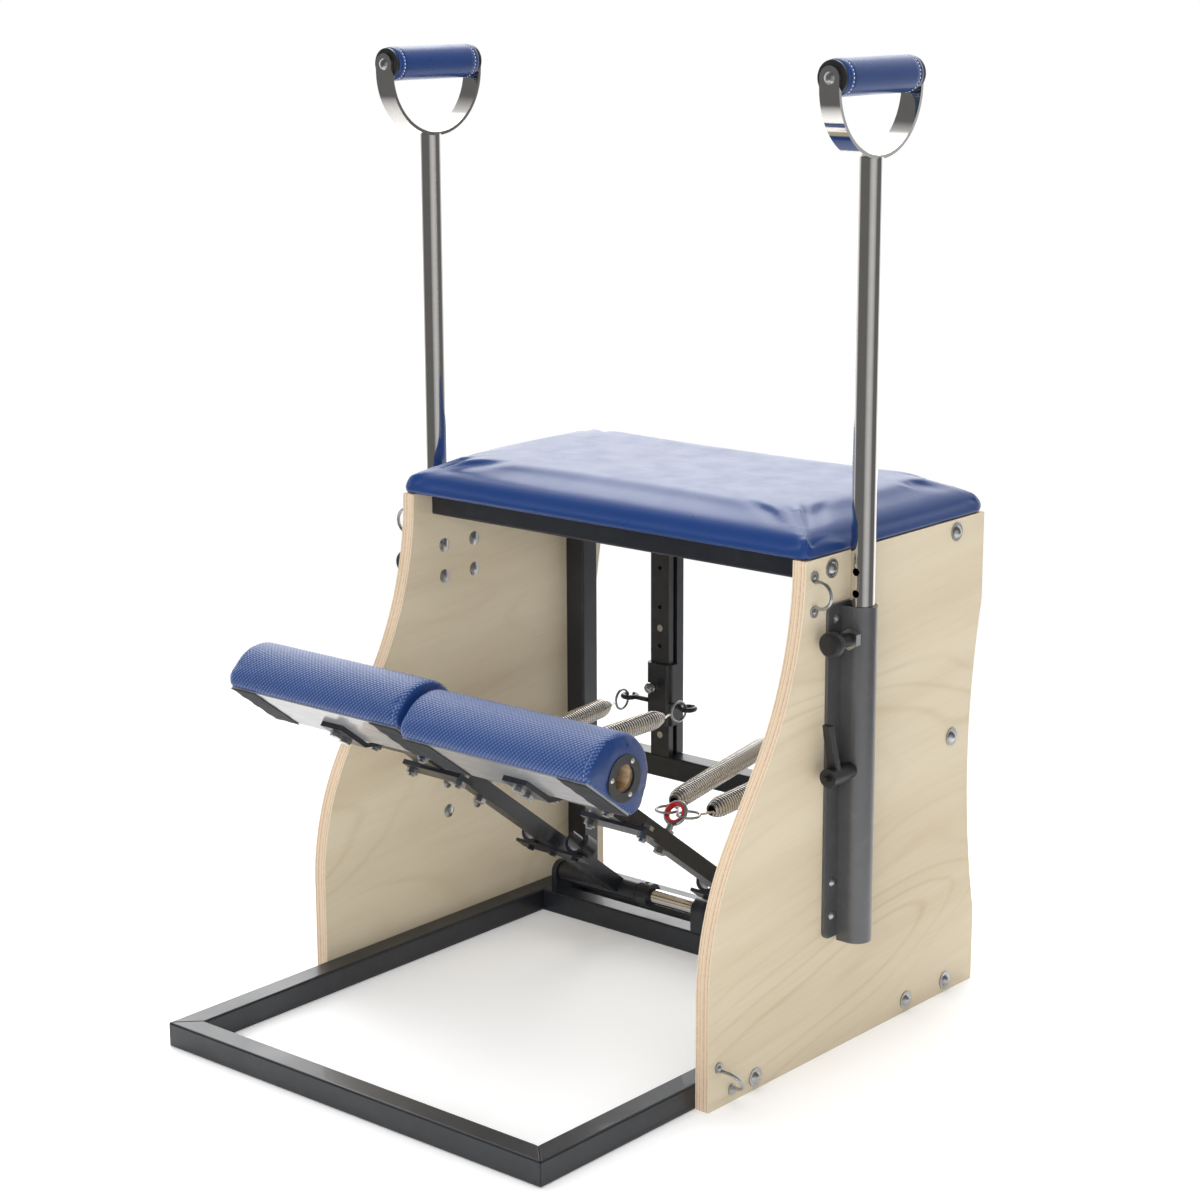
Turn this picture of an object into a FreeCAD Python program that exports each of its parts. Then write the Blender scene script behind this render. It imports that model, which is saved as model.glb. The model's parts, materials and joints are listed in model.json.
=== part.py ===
"""Split-pedal pilates chair in millimetres, +Z up, the rider facing -Y, standing on Z = 0."""
import FreeCAD
import Part
import math
import os

Vector = FreeCAD.Vector
X_AXIS = Vector(1, 0, 0)
Y_AXIS = Vector(0, 1, 0)
Z_AXIS = Vector(0, 0, 1)
SIDES = {"left": -1, "right": 1}

# Overall frame
chair_depth = 786.0
panel_gap = 584.0
panel_thickness = 18.0
panel_height = 594.0
panel_foot_depth = 529.0
panel_top_depth = 360.0
panel_toe_height = 130.0
panel_lean_share = 0.854
panel_lower_bend_share = 0.43
waist_depth = 21.5
waist_height = 290.0
waist_half_chord = 198.0

# Square tube
tube_size = 30.0
tube_wall = 2.0
tube_edge_radius = 3.0
rear_frame_inset = 45.0
cross_bar_inset = 130.0
mid_bar_height = 192.0
front_rail_setback = 33.0
rail_plug = 6.0

# Clearances shared by the fits
slide_gap = 0.3
bolt_gap = 0.3
pocket_gap = 0.3
bearing_gap = 0.3
overrun = 5.0

# Spring posts and the hole row
post_x = 130.0
post_front_flange = 9.0
post_groove_width = 8.0
post_groove_depth = 6.0
post_hole_diameter = 6.0
post_hole_depth = 14.0
post_hole_first = 318.0
post_hole_pitch = 52.0
post_hole_count = 4
post_screw_diameter = 9.0
post_screw_heights = (250.0, 394.0)
post_screw_depth = 3.0

# Seat
seat_overhang = 2.0
seat_height = 44.0
seat_corner_radius = 8.0
seat_board_thickness = 15.0
seat_board_margin = 26.0
seat_level_shares = (0.0, 0.14, 0.43, 0.62, 0.78, 0.90, 0.97, 1.0)
seat_inset_shares = (0.006, 0.0, 0.0, 0.012, 0.035, 0.075, 0.14, 0.22)

# Handles and their sleeves
handle_setback = 81.0
handle_diameter = 28.0
handle_wall = 2.0
handle_foot = 137.0
handle_rise = 435.0
handle_hole_diameter = 9.0
handle_hole_pitch = 25.0
handle_hole_count = 14
handle_holes_above = 3
sleeve_wall = 3.0
sleeve_tube_gap = 0.5
sleeve_bottom = 137.0
sleeve_drop = 60.0
plate_thickness = 4.0
plate_half_width = 42.0
plate_bottom = 143.0
plate_drop = 56.0
plate_corner_radius = 10.0
sleeve_standoff = 19.5
sleeve_bolt_half_pitch = 27.5
sleeve_bolt_end_inset = 17.0
sleeve_bolt_foot_inset = 27.0
sleeve_bolt_pitch = 40.0
loop_half_width = 79.0
loop_strap_width = 26.0
loop_strap = 4.0
loop_rise = 88.0
grip_diameter = 41.0
grip_length = 140.0
grip_bore = 17.0
grip_rod_diameter = 16.0
grip_washer_diameter = 38.0
grip_washer = 3.5
grip_screw_diameter = 14.0
grip_screw_head = 4.0
plug_lip = 4.0
plug_depth = 20.0

# Handle plunger and clamp lever
plunger_drop = 35.0
plunger_pin_diameter = 8.0
plunger_nut_flats = 22.0
plunger_nut = 8.5
plunger_neck_diameter = 16.0
plunger_neck = 23.0
plunger_knob_diameter = 30.0
plunger_knob = 15.0
plunger_knob_round = 5.0
lever_drop = 154.0
lever_hub_diameter = 22.0
lever_hub_standoff = 14.0
lever_hub = 30.0
lever_stud_diameter = 8.0
lever_stud_nose = 7.0
lever_length = 62.0
lever_lean = 16.0
lever_root_width = 16.0
lever_tip_width = 12.0
lever_thickness = 9.0

# Bolts
panel_bolt_diameter = 8.0
panel_bolt_head_diameter = 15.0
panel_bolt_head = 4.5
panel_bolt_reach = 4.0
panel_bolt_toe_inset = 85.0
upright_bolt_height = 327.0
washer_diameter = 22.0
washer_thickness = 1.6
sleeve_bolt_diameter = 6.0
sleeve_bolt_head_diameter = 11.0
sleeve_bolt_head = 3.5
tee_nut_diameter = 18.0
tee_nut = 2.5

# Wire hooks on the panels, by the places of their two eyelets
hook_wire_diameter = 4.0
hook_bulge = 22.0
hook_eyelet_diameter = 13.0
hook_eyelet = 2.0
hook_screw_diameter = 7.0
hook_screw_head = 2.5
upper_hook_front_inset = 15.0
upper_hook_drop = 19.0
upper_hook_span = 40.0
lower_hook_front_inset = 18.0
lower_hook_height = 48.0
lower_hook_span = 33.0
lower_hook_back = 24.0

# Pedal axle
pivot_height = 57.0
shaft_diameter = 20.0
shaft_half_length = 250.0
support_end_x = 238.0
support_end_width = 8.0
support_centre_width = 20.0
pedal_tube_diameter = 26.0
pedal_tube_inner_x = 105.5
pedal_tube_outer_x = 236.5
collar_inner_x = 84.0
collar_width = 18.0
collar_diameter = 32.0
collar_screw_diameter = 6.0

# Pedals, laid out along the arm (distance from the axle, height above the arm's centreline)
pedal_rest_angles = {"left": 37.3, "right": 36.5}
arm_x = 143.0
arm_start = 8.0
arm_end = 540.0
arm_size = 20.0
arm_wall = 2.0
arm_cap = 3.0
pad_inner_x = 4.0
pad_outer_x = 278.0
pad_base_drop = 40.0
pad_centre = 606.0
pad_base_width = 92.0
pad_width = 105.0
pad_thickness = 75.0
pad_belly_height = 24.0
pad_corner_bulge = 4.0
pad_end_round = 8.0
pad_end_share = 0.95
core_width = 84.0
core_height = 56.0
core_end_inset = 4.0
core_round = 22.0
socket_diameter = 31.0
socket_depth = 45.0
socket_centre = 602.0
socket_drop = 11.2
ring_diameter = 52.0
ring_thickness = 3.0
ring_screw_diameter = 6.0
ring_screw_head = 1.5
ring_screw_count = 3
bracket_width = 34.0
bracket_thickness = 6.0
bracket_start = 388.0
bracket_crank_start = 506.0
bracket_crank_end = 556.0
bracket_end = 604.0
cross_plate_places = (408.0, 484.0)
cross_plate_width = 28.0
cross_plate_half_length = 47.0
cross_plate_drop = 3.0
cross_bolt_offset = 39.0
board_bolt_places = (574.0, 591.0)
board_bolt_depth = 18.0
bracket_bolt_diameter = 8.0
bracket_nut_flats = 13.0
bracket_nut = 6.0
bracket_head = 5.5
bracket_bolt_spare = 3.0

# Eyebolt and liner
eye_place = 319.0
eye_height = 36.0
eye_radius = 13.0
eye_wire = 6.0
eye_shank_diameter = 8.0
eye_collar_diameter = 14.0
eye_collar = 4.0
liner_wall = 1.2
liner_gap = 0.05
liner_wrap = 80.0

# Arm clips
clip_place = 150.0
clip_plate_half_length = 56.0
clip_plate_width = 22.0
clip_plate = 4.0
clip_offset = 37.0
clip_outer_radius = 17.0
clip_inner_radius = 13.0
clip_mouth = 90.0
clip_seat = 1.0
clip_nut_flats = 8.0
clip_nut = 4.0

# Carriages that carry the springs
carriage_bottom = 265.0
carriage_height = 82.0
carriage_wall = 5.0
carriage_round = 8.0
hook_offset = 49.0
hook_height = 295.0
hook_radius = 9.0
hook_rod = 6.4
hook_open = 320.0
hook_mouth_angle = 60.0
pin_diameter = 5.0
pin_knob_diameter = 15.0
pin_shank_diameter = 9.0
pin_shank = 11.0

# Springs
spring_diameter = 25.0
spring_wire = 3.0
spring_turns = 14
spring_taper_turns = 2
spring_tip_share = 0.45
link_radius = 13.0
link_wire = 3.2
link_gap = 0.35
link_eye_gap = 1.0
link_seat_gap = 0.1
link_splay = 37.0

# Places worked out from the driving sizes
back_y = chair_depth / 2
front_y = -chair_depth / 2
inner_x = panel_gap / 2
outer_x = inner_x + panel_thickness
bar_x = inner_x - tube_size
toe_y = back_y - panel_foot_depth
panel_top_y = back_y - panel_top_depth
rear_y = back_y - rear_frame_inset
rear_front_y = rear_y - tube_size
pivot_y = back_y - cross_bar_inset - tube_size / 2
cross_y = pivot_y - tube_size / 2
front_rail_y = panel_top_y + front_rail_setback
rail_z = panel_height - tube_size
seat_front_y = panel_top_y - seat_overhang
handle_y = panel_top_y + handle_setback
handle_top = panel_height + handle_rise
sleeve_top = panel_height - sleeve_drop
plate_top = panel_height - plate_drop
plunger_height = sleeve_top - plunger_drop
lever_height = plunger_height - lever_drop
handle_x = outer_x + sleeve_standoff
sleeve_inner = handle_diameter / 2 + sleeve_tube_gap
sleeve_outer = sleeve_inner + sleeve_wall
sleeve_front_y = handle_y - sleeve_outer
grip_z = handle_top + loop_rise
shaft_point = Vector(0, pivot_y, pivot_height)
arm_half = arm_size / 2
pad_base_height = -pad_base_drop
socket_height = -socket_drop
carriage_half = tube_size / 2 + slide_gap
carriage_front_y = rear_front_y - slide_gap - carriage_wall
hook_y = carriage_front_y + hook_rod / 2


# Building blocks

def box(x, y, z):
    """Block between pairs of limits."""
    low = Vector(min(x), min(y), min(z))
    return Part.makeBox(max(x) - low.x, max(y) - low.y, max(z) - low.z, low)


def rod(diameter, start, end):
    """Round bar between two points."""
    reach = end - start
    return Part.makeCylinder(diameter / 2, reach.Length, start, reach)


def hex_bar(flats, start, end):
    """Hexagon bar between two points."""
    reach = end - start
    side = reach.cross(X_AXIS)
    if side.Length < reach.Length / 2:
        side = reach.cross(Y_AXIS)
    side.normalize()
    up = reach.cross(side)
    up.normalize()
    radius = flats / 2 / math.cos(math.pi / 6)
    corners = []
    for step in range(7):
        turn = math.radians(60 * step)
        corners.append(start + side * (radius * math.cos(turn)) + up * (radius * math.sin(turn)))
    return Part.Face(Part.makePolygon(corners)).extrude(reach)


def prism(points, reach):
    """Straight-edged outline pushed along a vector."""
    return Part.Face(Part.makePolygon(list(points) + [points[0]])).extrude(reach)


def dome(diameter, height, start, direction):
    """Low button head on a flat face."""
    profile_radius = diameter / 2
    ball_radius = (profile_radius ** 2 + height ** 2) / (2 * height)
    ball = Part.makeSphere(ball_radius, Vector(0, 0, height - ball_radius))
    head = ball.common(Part.makeCylinder(profile_radius, height))
    head.Placement = FreeCAD.Placement(start, FreeCAD.Rotation(Z_AXIS, direction))
    return head


def rounded_outline(half_u, half_v, radius):
    """Rounded rectangle as edges in the XY plane, centred on the origin."""
    edges = []
    for step in range(4):
        turn = FreeCAD.Rotation(Z_AXIS, 90 * step)
        reach_u = half_u if step % 2 == 0 else half_v
        reach_v = half_v if step % 2 == 0 else half_u
        corner = Vector(reach_u - radius, reach_v - radius, 0)
        middle = corner + Vector(radius, radius, 0) * math.sqrt(0.5)
        start = corner + Vector(radius, 0, 0)
        end = corner + Vector(0, radius, 0)
        run_end = Vector(end.x - 2 * corner.x, end.y, 0)
        points = [turn.multVec(point) for point in (start, middle, end, run_end)]
        edges.append(Part.Arc(points[0], points[1], points[2]).toShape())
        edges.append(Part.LineSegment(points[2], points[3]).toShape())
    return edges


def square_tube(start, end):
    """Square tube with rounded edges along one axis, given its centreline's ends."""
    half = tube_size / 2
    inner = half - tube_wall
    outline = Part.Face(Part.Wire(rounded_outline(half, half, tube_edge_radius)))
    bore_corners = [Vector(u * inner, v * inner, 0) for u, v in ((1, 1), (-1, 1), (-1, -1), (1, -1), (1, 1))]
    section = outline.cut(Part.Face(Part.makePolygon(bore_corners)))
    reach = end - start
    bar = section.extrude(Z_AXIS * reach.Length)
    bar.Placement = FreeCAD.Placement(start, FreeCAD.Rotation(Z_AXIS, reach))
    return bar


def unit(vector):
    """The vector at length one."""
    return vector / vector.Length


def fuse(shapes):
    """One clean solid from shapes that meet."""
    whole = shapes[0].fuse(shapes[1:])
    return whole.removeSplitter()


def mirrored(shape, sign):
    """The right-hand shape, or its mirror image for the left."""
    if sign > 0:
        return shape
    return shape.mirror(Vector(), X_AXIS)


def save(name, *shapes):
    """Write one sub-part, as a group where it holds more than one solid."""
    solids = [solid for shape in shapes for solid in shape.Solids]
    for solid in solids:
        if not solid.isValid() or solid.Volume <= 0:
            print("bad solid in", name)
    Part.Compound(solids).exportStep("parts/" + name + ".step")


# Wooden side panels

def bolt_places():
    """Bolts through a panel into the frame, as (y, z) of each."""
    rear = rear_y - tube_size / 2
    rail = panel_height - tube_size / 2
    floor_bar = tube_size / 2
    return (
        (front_rail_y + tube_size / 2, rail),
        (rear, rail),
        (rear, upright_bolt_height),
        (rear, floor_bar),
        (pivot_y, floor_bar),
        (toe_y + panel_bolt_toe_inset, floor_bar),
    )


def sleeve_bolt_places():
    """Bolts through a sleeve plate and its panel, as (y, z) of each."""
    offsets = (-sleeve_bolt_half_pitch, sleeve_bolt_half_pitch)
    low = plate_bottom + sleeve_bolt_foot_inset
    high = plate_top - sleeve_bolt_end_inset
    heights = (low, low + sleeve_bolt_pitch, high - sleeve_bolt_pitch, high)
    return [(handle_y + offset, height) for offset in offsets for height in heights]


def panel():
    """Right panel: S-curved front edge, shallow waist in the rear edge, bolt holes."""
    run = panel_top_y - toe_y
    rise = panel_height - panel_toe_height
    lean = panel_lean_share * 2 * math.atan(run / rise)
    bends = (run * math.cos(lean) - rise * math.sin(lean)) / (math.cos(lean) - 1)
    lower = bends * panel_lower_bend_share
    upper = bends - lower

    def on_lower(angle):
        y = toe_y + lower * (1 - math.cos(angle))
        return Vector(inner_x, y, panel_toe_height + lower * math.sin(angle))

    def on_upper(angle):
        y = panel_top_y - upper * (1 - math.cos(angle))
        return Vector(inner_x, y, panel_height - upper * math.sin(angle))

    waist_low = Vector(inner_x, back_y, waist_height - waist_half_chord)
    waist_mid = Vector(inner_x, back_y - waist_depth, waist_height)
    waist_high = Vector(inner_x, back_y, waist_height + waist_half_chord)
    toe = Vector(inner_x, toe_y, 0)
    heel = Vector(inner_x, back_y, 0)
    crest = Vector(inner_x, back_y, panel_height)
    edges = [
        Part.LineSegment(toe, on_lower(0)),
        Part.Arc(on_lower(0), on_lower(lean / 2), on_lower(lean)),
        Part.LineSegment(on_lower(lean), on_upper(lean)),
        Part.Arc(on_upper(lean), on_upper(lean / 2), on_upper(0)),
        Part.LineSegment(on_upper(0), crest),
        Part.LineSegment(crest, waist_high),
        Part.Arc(waist_high, waist_mid, waist_low),
        Part.LineSegment(waist_low, heel),
        Part.LineSegment(heel, toe),
    ]
    board = Part.Face(Part.Wire([edge.toShape() for edge in edges])).extrude(X_AXIS * panel_thickness)
    holes = [panel_hole(panel_bolt_diameter, place) for place in bolt_places()]
    holes += [panel_hole(sleeve_bolt_diameter, place) for place in sleeve_bolt_places()]
    return board.cut(holes)


def panel_hole(diameter, place):
    """Clearance hole for a bolt, from inside the frame tube to outside the sleeve plate."""
    start = Vector(inner_x - rail_plug - overrun, place[0], place[1])
    end = Vector(outer_x + plate_thickness + overrun, place[0], place[1])
    return rod(diameter + 2 * bolt_gap, start, end)


# Steel frame

def cross_tube(half_length, y, z):
    """Square tube along X from its lowest y and z faces."""
    centre = Vector(0, y + tube_size / 2, z + tube_size / 2)
    return square_tube(centre - X_AXIS * half_length, centre + X_AXIS * half_length)


def side_tube(start, end):
    """Square tube behind the right panel, between two (y, z) points of its centreline."""
    x = inner_x - tube_size / 2
    return square_tube(Vector(x, start[0], start[1]), Vector(x, end[0], end[1]))


def mitre(sign, keep_side):
    """Wedge that a front corner loses: the front bar's half or the side bar's half."""
    tip = Vector(sign * inner_x, front_y, -overrun)
    root = Vector(sign * bar_x, front_y + tube_size, -overrun)
    third = Vector(root.x, tip.y, -overrun) if keep_side else Vector(tip.x, root.y, -overrun)
    return prism((tip, root, third), Z_AXIS * (tube_size + 2 * overrun))


def bolted(tube):
    """The frame tube with the panel bolts' holes."""
    holes = [panel_hole(panel_bolt_diameter, place) for place in bolt_places()]
    return tube.cut(holes)


def seat_rail(y):
    """Tube under the seat, closed by a threaded plug at each end."""
    tube = cross_tube(inner_x, y, rail_z)
    half = tube_size / 2 - tube_wall
    parts = [tube]
    for sign in SIDES.values():
        ends = (sign * inner_x, sign * (inner_x - rail_plug))
        middle = (y + tube_size / 2, rail_z + tube_size / 2)
        plug = box(ends, (middle[0] - half, middle[0] + half), (middle[1] - half, middle[1] + half))
        parts.append(plug)
    rail = bolted(fuse(parts))
    holes = [panel_hole(panel_bolt_diameter, place) for place in bolt_places()]
    return rail.cut([hole.mirror(Vector(), X_AXIS) for hole in holes])


def frame():
    """Base, uprights, rails and bars."""
    half = tube_size / 2
    front = cross_tube(inner_x, front_y, 0)
    for sign in SIDES.values():
        front = front.cut(mitre(sign, False))
    save("base_front_bar", front)
    side = side_tube((front_y, half), (rear_y, half)).cut(mitre(1, True))
    upright = side_tube((rear_y - half, tube_size), (rear_y - half, rail_z))
    for name, sign in SIDES.items():
        save("base_" + name + "_bar", mirrored(bolted(side), sign))
        save(name + "_upright", mirrored(bolted(upright), sign))
    save("base_cross_bar", cross_tube(bar_x, cross_y, 0))
    save("base_rear_bar", cross_tube(bar_x, rear_front_y, 0))
    save("rear_mid_bar", cross_tube(bar_x, rear_front_y, mid_bar_height))
    save("rear_seat_rail", seat_rail(rear_front_y))
    save("front_seat_rail", seat_rail(front_rail_y))


def post_hole_heights():
    return [post_hole_first + post_hole_pitch * step for step in range(post_hole_count)]


def spring_post():
    """Right spring post: a guide bar with a groove down each side and a row of pin holes."""
    bottom = mid_bar_height + tube_size
    half = tube_size / 2
    height = (bottom, rail_z)
    groove_y = rear_front_y + post_front_flange
    post = box((post_x - half, post_x + half), (rear_front_y, rear_y), height)
    for sign in SIDES.values():
        groove_x = (post_x + sign * (half - post_groove_depth), post_x + sign * (half + overrun))
        post = post.cut(box(groove_x, (groove_y, groove_y + post_groove_width), height))
    cuts = []
    for z in post_hole_heights():
        start = Vector(post_x, rear_front_y - overrun, z)
        cuts.append(rod(post_hole_diameter, start, start + Y_AXIS * (post_hole_depth + overrun)))
    for z in post_screw_heights:
        face = Vector(post_x, rear_front_y, z)
        cuts.append(Part.makeCone(post_screw_diameter / 2, 0, post_screw_depth, face, Y_AXIS))
    return post.cut(cuts)


def post_screws():
    """Countersunk screws set in the face of the right post."""
    screws = []
    for z in post_screw_heights:
        face = Vector(post_x, rear_front_y, z)
        screws.append(Part.makeCone(post_screw_diameter / 2, 0, post_screw_depth, face, Y_AXIS))
    return screws


def frame_fasteners():
    """Button-head bolts with washers through the panels, and the posts' screws."""
    bolts = []
    for y, z in bolt_places():
        face = Vector(outer_x, y, z)
        seat = face + X_AXIS * washer_thickness
        washer = rod(washer_diameter, face, seat)
        shank_end = Vector(inner_x - panel_bolt_reach, y, z)
        head = dome(panel_bolt_head_diameter, panel_bolt_head, seat, X_AXIS)
        bolts.append(fuse([washer, rod(panel_bolt_diameter, shank_end, seat), head]))
    right = bolts + post_screws()
    left = [mirrored(solid, -1) for solid in right]
    save("frame_fasteners", *right, *left)


# Seat

def seat_section(level_share, inset_share):
    """Rounded outline of the cushion at one level, drawn in by a share of its depth."""
    depth = back_y - seat_front_y
    inset = inset_share * depth
    half_x = outer_x + seat_overhang - inset
    half_y = depth / 2 - inset
    radius = seat_corner_radius + inset
    outline = Part.Wire(rounded_outline(half_x, half_y, radius))
    outline.translate(Vector(0, (back_y + seat_front_y) / 2, panel_height + level_share * seat_height))
    return outline


def seat():
    """Plywood seat board and the crowned cushion that is wrapped over it."""
    margin = seat_board_margin
    x = (margin - outer_x, outer_x - margin)
    y = (seat_front_y + margin, back_y - margin)
    board = box(x, y, (panel_height, panel_height + seat_board_thickness))
    gap = pocket_gap
    pocket = box(
        (x[0] - gap, x[1] + gap),
        (y[0] - gap, y[1] + gap),
        (panel_height - overrun, panel_height + seat_board_thickness + gap),
    )
    sections = [seat_section(*shares) for shares in zip(seat_level_shares, seat_inset_shares)]
    cushion = Part.makeLoft(sections, True, True)
    save("seat_board", board)
    save("seat_cushion", cushion.cut(pocket))


# Handle sleeves

def sleeve_section(radius):
    """Round-nosed outline round the handle tube, with flat sides back to the panel plate."""
    root = outer_x + plate_thickness
    start = Vector(root, handle_y - radius, 0)
    shoulder = Vector(handle_x, handle_y - radius, 0)
    nose = Vector(handle_x + radius, handle_y, 0)
    far_shoulder = Vector(handle_x, handle_y + radius, 0)
    end = Vector(root, handle_y + radius, 0)
    edges = [
        Part.LineSegment(start, shoulder),
        Part.Arc(shoulder, nose, far_shoulder),
        Part.LineSegment(far_shoulder, end),
        Part.LineSegment(end, start),
    ]
    return Part.Face(Part.Wire([edge.toShape() for edge in edges]))


def sleeve():
    """Right sleeve: U-shaped channel welded to a rounded plate, drilled for bolts, pin and stud."""
    channel = sleeve_section(sleeve_outer).cut(sleeve_section(sleeve_inner))
    channel = channel.extrude(Z_AXIS * (sleeve_top - sleeve_bottom))
    channel.translate(Z_AXIS * sleeve_bottom)
    half_height = (plate_top - plate_bottom) / 2
    outline = Part.Face(Part.Wire(rounded_outline(half_height, plate_half_width, plate_corner_radius)))
    plate = outline.extrude(Z_AXIS * plate_thickness)
    centre = Vector(outer_x, handle_y, (plate_top + plate_bottom) / 2)
    plate.Placement = FreeCAD.Placement(centre, FreeCAD.Rotation(Y_AXIS, 90))
    holes = [panel_hole(sleeve_bolt_diameter, place) for place in sleeve_bolt_places()]
    for diameter, z in ((plunger_pin_diameter, plunger_height), (lever_stud_diameter, lever_height)):
        start = Vector(handle_x, sleeve_front_y - overrun, z)
        holes.append(rod(diameter + 2 * slide_gap, start, start + Y_AXIS * (sleeve_wall + 2 * overrun)))
    return fuse([channel, plate]).cut(holes)


def sleeve_fasteners():
    """Sleeve bolts, their tee nuts inside the panel, and the plunger's fixed hexagon barrels."""
    solids = []
    for y, z in sleeve_bolt_places():
        seat = Vector(outer_x + plate_thickness, y, z)
        back = Vector(inner_x, y, z)
        head = dome(sleeve_bolt_head_diameter, sleeve_bolt_head, seat, X_AXIS)
        nut = dome(tee_nut_diameter, tee_nut, back, X_AXIS * -1)
        solids.append(fuse([rod(sleeve_bolt_diameter, back, seat), head, nut]))
    face = Vector(handle_x, sleeve_front_y, plunger_height)
    barrel = hex_bar(plunger_nut_flats, face, face - Y_AXIS * plunger_nut)
    bore = rod(plunger_pin_diameter + 2 * slide_gap, face + Y_AXIS, face - Y_AXIS * (plunger_nut + overrun))
    solids.append(barrel.cut(bore))
    save("sleeve_fasteners", *solids, *[mirrored(solid, -1) for solid in solids])


def plunger():
    """Right pull knob with its neck and locking pin, tip just clear of the handle tube."""
    tip = Vector(handle_x, handle_y - handle_diameter / 2 - slide_gap, plunger_height)
    neck_start = Vector(handle_x, sleeve_front_y - plunger_nut - slide_gap, plunger_height)
    neck_end = neck_start - Y_AXIS * plunger_neck
    knob_end = neck_end - Y_AXIS * plunger_knob
    pin = rod(plunger_pin_diameter, tip, neck_start)
    neck = rod(plunger_neck_diameter, neck_start, neck_end)
    knob = rod(plunger_knob_diameter, neck_end, knob_end)
    knob = knob.makeFillet(plunger_knob_round, [edge for edge in knob.Edges if len(edge.Vertexes) == 1])
    return fuse([pin, neck, knob])


def lever():
    """Right clamp lever: stud, round hub and a tapered handle that leans forward."""
    axis = Vector(handle_x, handle_y - handle_diameter / 2 - slide_gap, lever_height)
    hub_back = Vector(handle_x, sleeve_front_y - lever_hub_standoff, lever_height)
    hub_front = hub_back - Y_AXIS * lever_hub
    stud = rod(lever_stud_diameter, axis, hub_front - Y_AXIS * lever_stud_nose)
    spacer_face = Vector(handle_x, sleeve_front_y - slide_gap, lever_height)
    spacer = rod(lever_hub_diameter - lever_stud_diameter / 2, spacer_face, hub_back)
    hub = rod(lever_hub_diameter, hub_back, hub_front)
    root_y = (hub_back.y + hub_front.y) / 2
    sections = []
    for share, width in ((0, lever_root_width), (1, lever_tip_width)):
        outline = Part.Wire(rounded_outline(width / 2, lever_thickness / 2, lever_thickness / 3))
        outline.translate(Vector(handle_x, root_y - share * lever_lean, lever_height + share * lever_length))
        sections.append(outline)
    handle = Part.makeLoft(sections, True, True)
    return fuse([stud, spacer, hub, handle])


# Handles

def handle_frame():
    """Right handle: chromed tube with index holes and the strap loop welded on top."""
    foot = Vector(handle_x, handle_y, handle_foot + plug_lip)
    top = Vector(handle_x, handle_y, handle_top + loop_strap / 2)
    tube = rod(handle_diameter, foot, top)
    bore = rod(handle_diameter - 2 * handle_wall, foot - Z_AXIS * overrun, top - Z_AXIS * handle_wall)
    holes = []
    for step in range(handle_hole_count):
        lift = (handle_holes_above - step) * handle_hole_pitch
        start = Vector(handle_x, handle_y, plunger_height + lift)
        holes.append(rod(handle_hole_diameter, start, start - Y_AXIS * handle_diameter))
    return fuse([tube.cut([bore] + holes), loop_strap_solid()])


def loop_strap_solid():
    """U-shaped strap with rounded, drilled ends for the grip."""
    inner = loop_half_width - loop_strap
    centre_z = handle_top + loop_half_width
    half = loop_strap_width / 2
    end_z = grip_z + half
    back_x = handle_x - half
    edges = []
    for radius in (loop_half_width, inner):
        low = Vector(back_x, handle_y, centre_z - radius)
        near = Vector(back_x, handle_y - radius, centre_z)
        far = Vector(back_x, handle_y + radius, centre_z)
        near_end = Vector(back_x, handle_y - radius, end_z)
        far_end = Vector(back_x, handle_y + radius, end_z)
        edges.append(Part.LineSegment(near_end, near))
        edges.append(Part.Arc(near, low, far))
        edges.append(Part.LineSegment(far, far_end))
    for sign in (-1, 1):
        outside = Vector(back_x, handle_y + sign * loop_half_width, end_z)
        inside = Vector(back_x, handle_y + sign * inner, end_z)
        edges.append(Part.LineSegment(outside, inside))
    ordered = Part.__sortEdges__([edge.toShape() for edge in edges])
    strap = Part.Face(Part.Wire(ordered)).extrude(X_AXIS * loop_strap_width)
    start = Vector(handle_x, handle_y - loop_half_width - overrun, grip_z)
    end = Vector(handle_x, handle_y + loop_half_width + overrun, grip_z)
    reach_x = (back_x - overrun, back_x + loop_strap_width + overrun)
    reach_y = (start.y, end.y)
    lug = box(reach_x, reach_y, (centre_z - loop_strap_width, grip_z))
    low_block = box(reach_x, reach_y, (handle_top - overrun, centre_z))
    keep = fuse([rod(loop_strap_width, start, end), lug, low_block])
    return strap.common(keep).cut(rod(grip_rod_diameter / 2 + 2 * bolt_gap, start, end))


def grip():
    """Right grip on its rod."""
    start = Vector(handle_x, handle_y - grip_length / 2, grip_z)
    end = start + Y_AXIS * grip_length
    sleeve_solid = rod(grip_diameter, start, end)
    ends = [edge for edge in sleeve_solid.Edges if len(edge.Vertexes) == 1]
    rounded = sleeve_solid.makeFillet((grip_diameter - grip_washer_diameter) / 2, ends)
    return rounded.cut(rod(grip_bore, start - Y_AXIS * overrun, end + Y_AXIS * overrun))


def washer_reach():
    """Distance from the loop's middle to a washer's outer face, clear of where the strap curves in."""
    drop = max(0, loop_half_width + grip_washer_diameter / 2 - loop_rise)
    return math.sqrt((loop_half_width - loop_strap) ** 2 - drop ** 2) - pocket_gap


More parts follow.
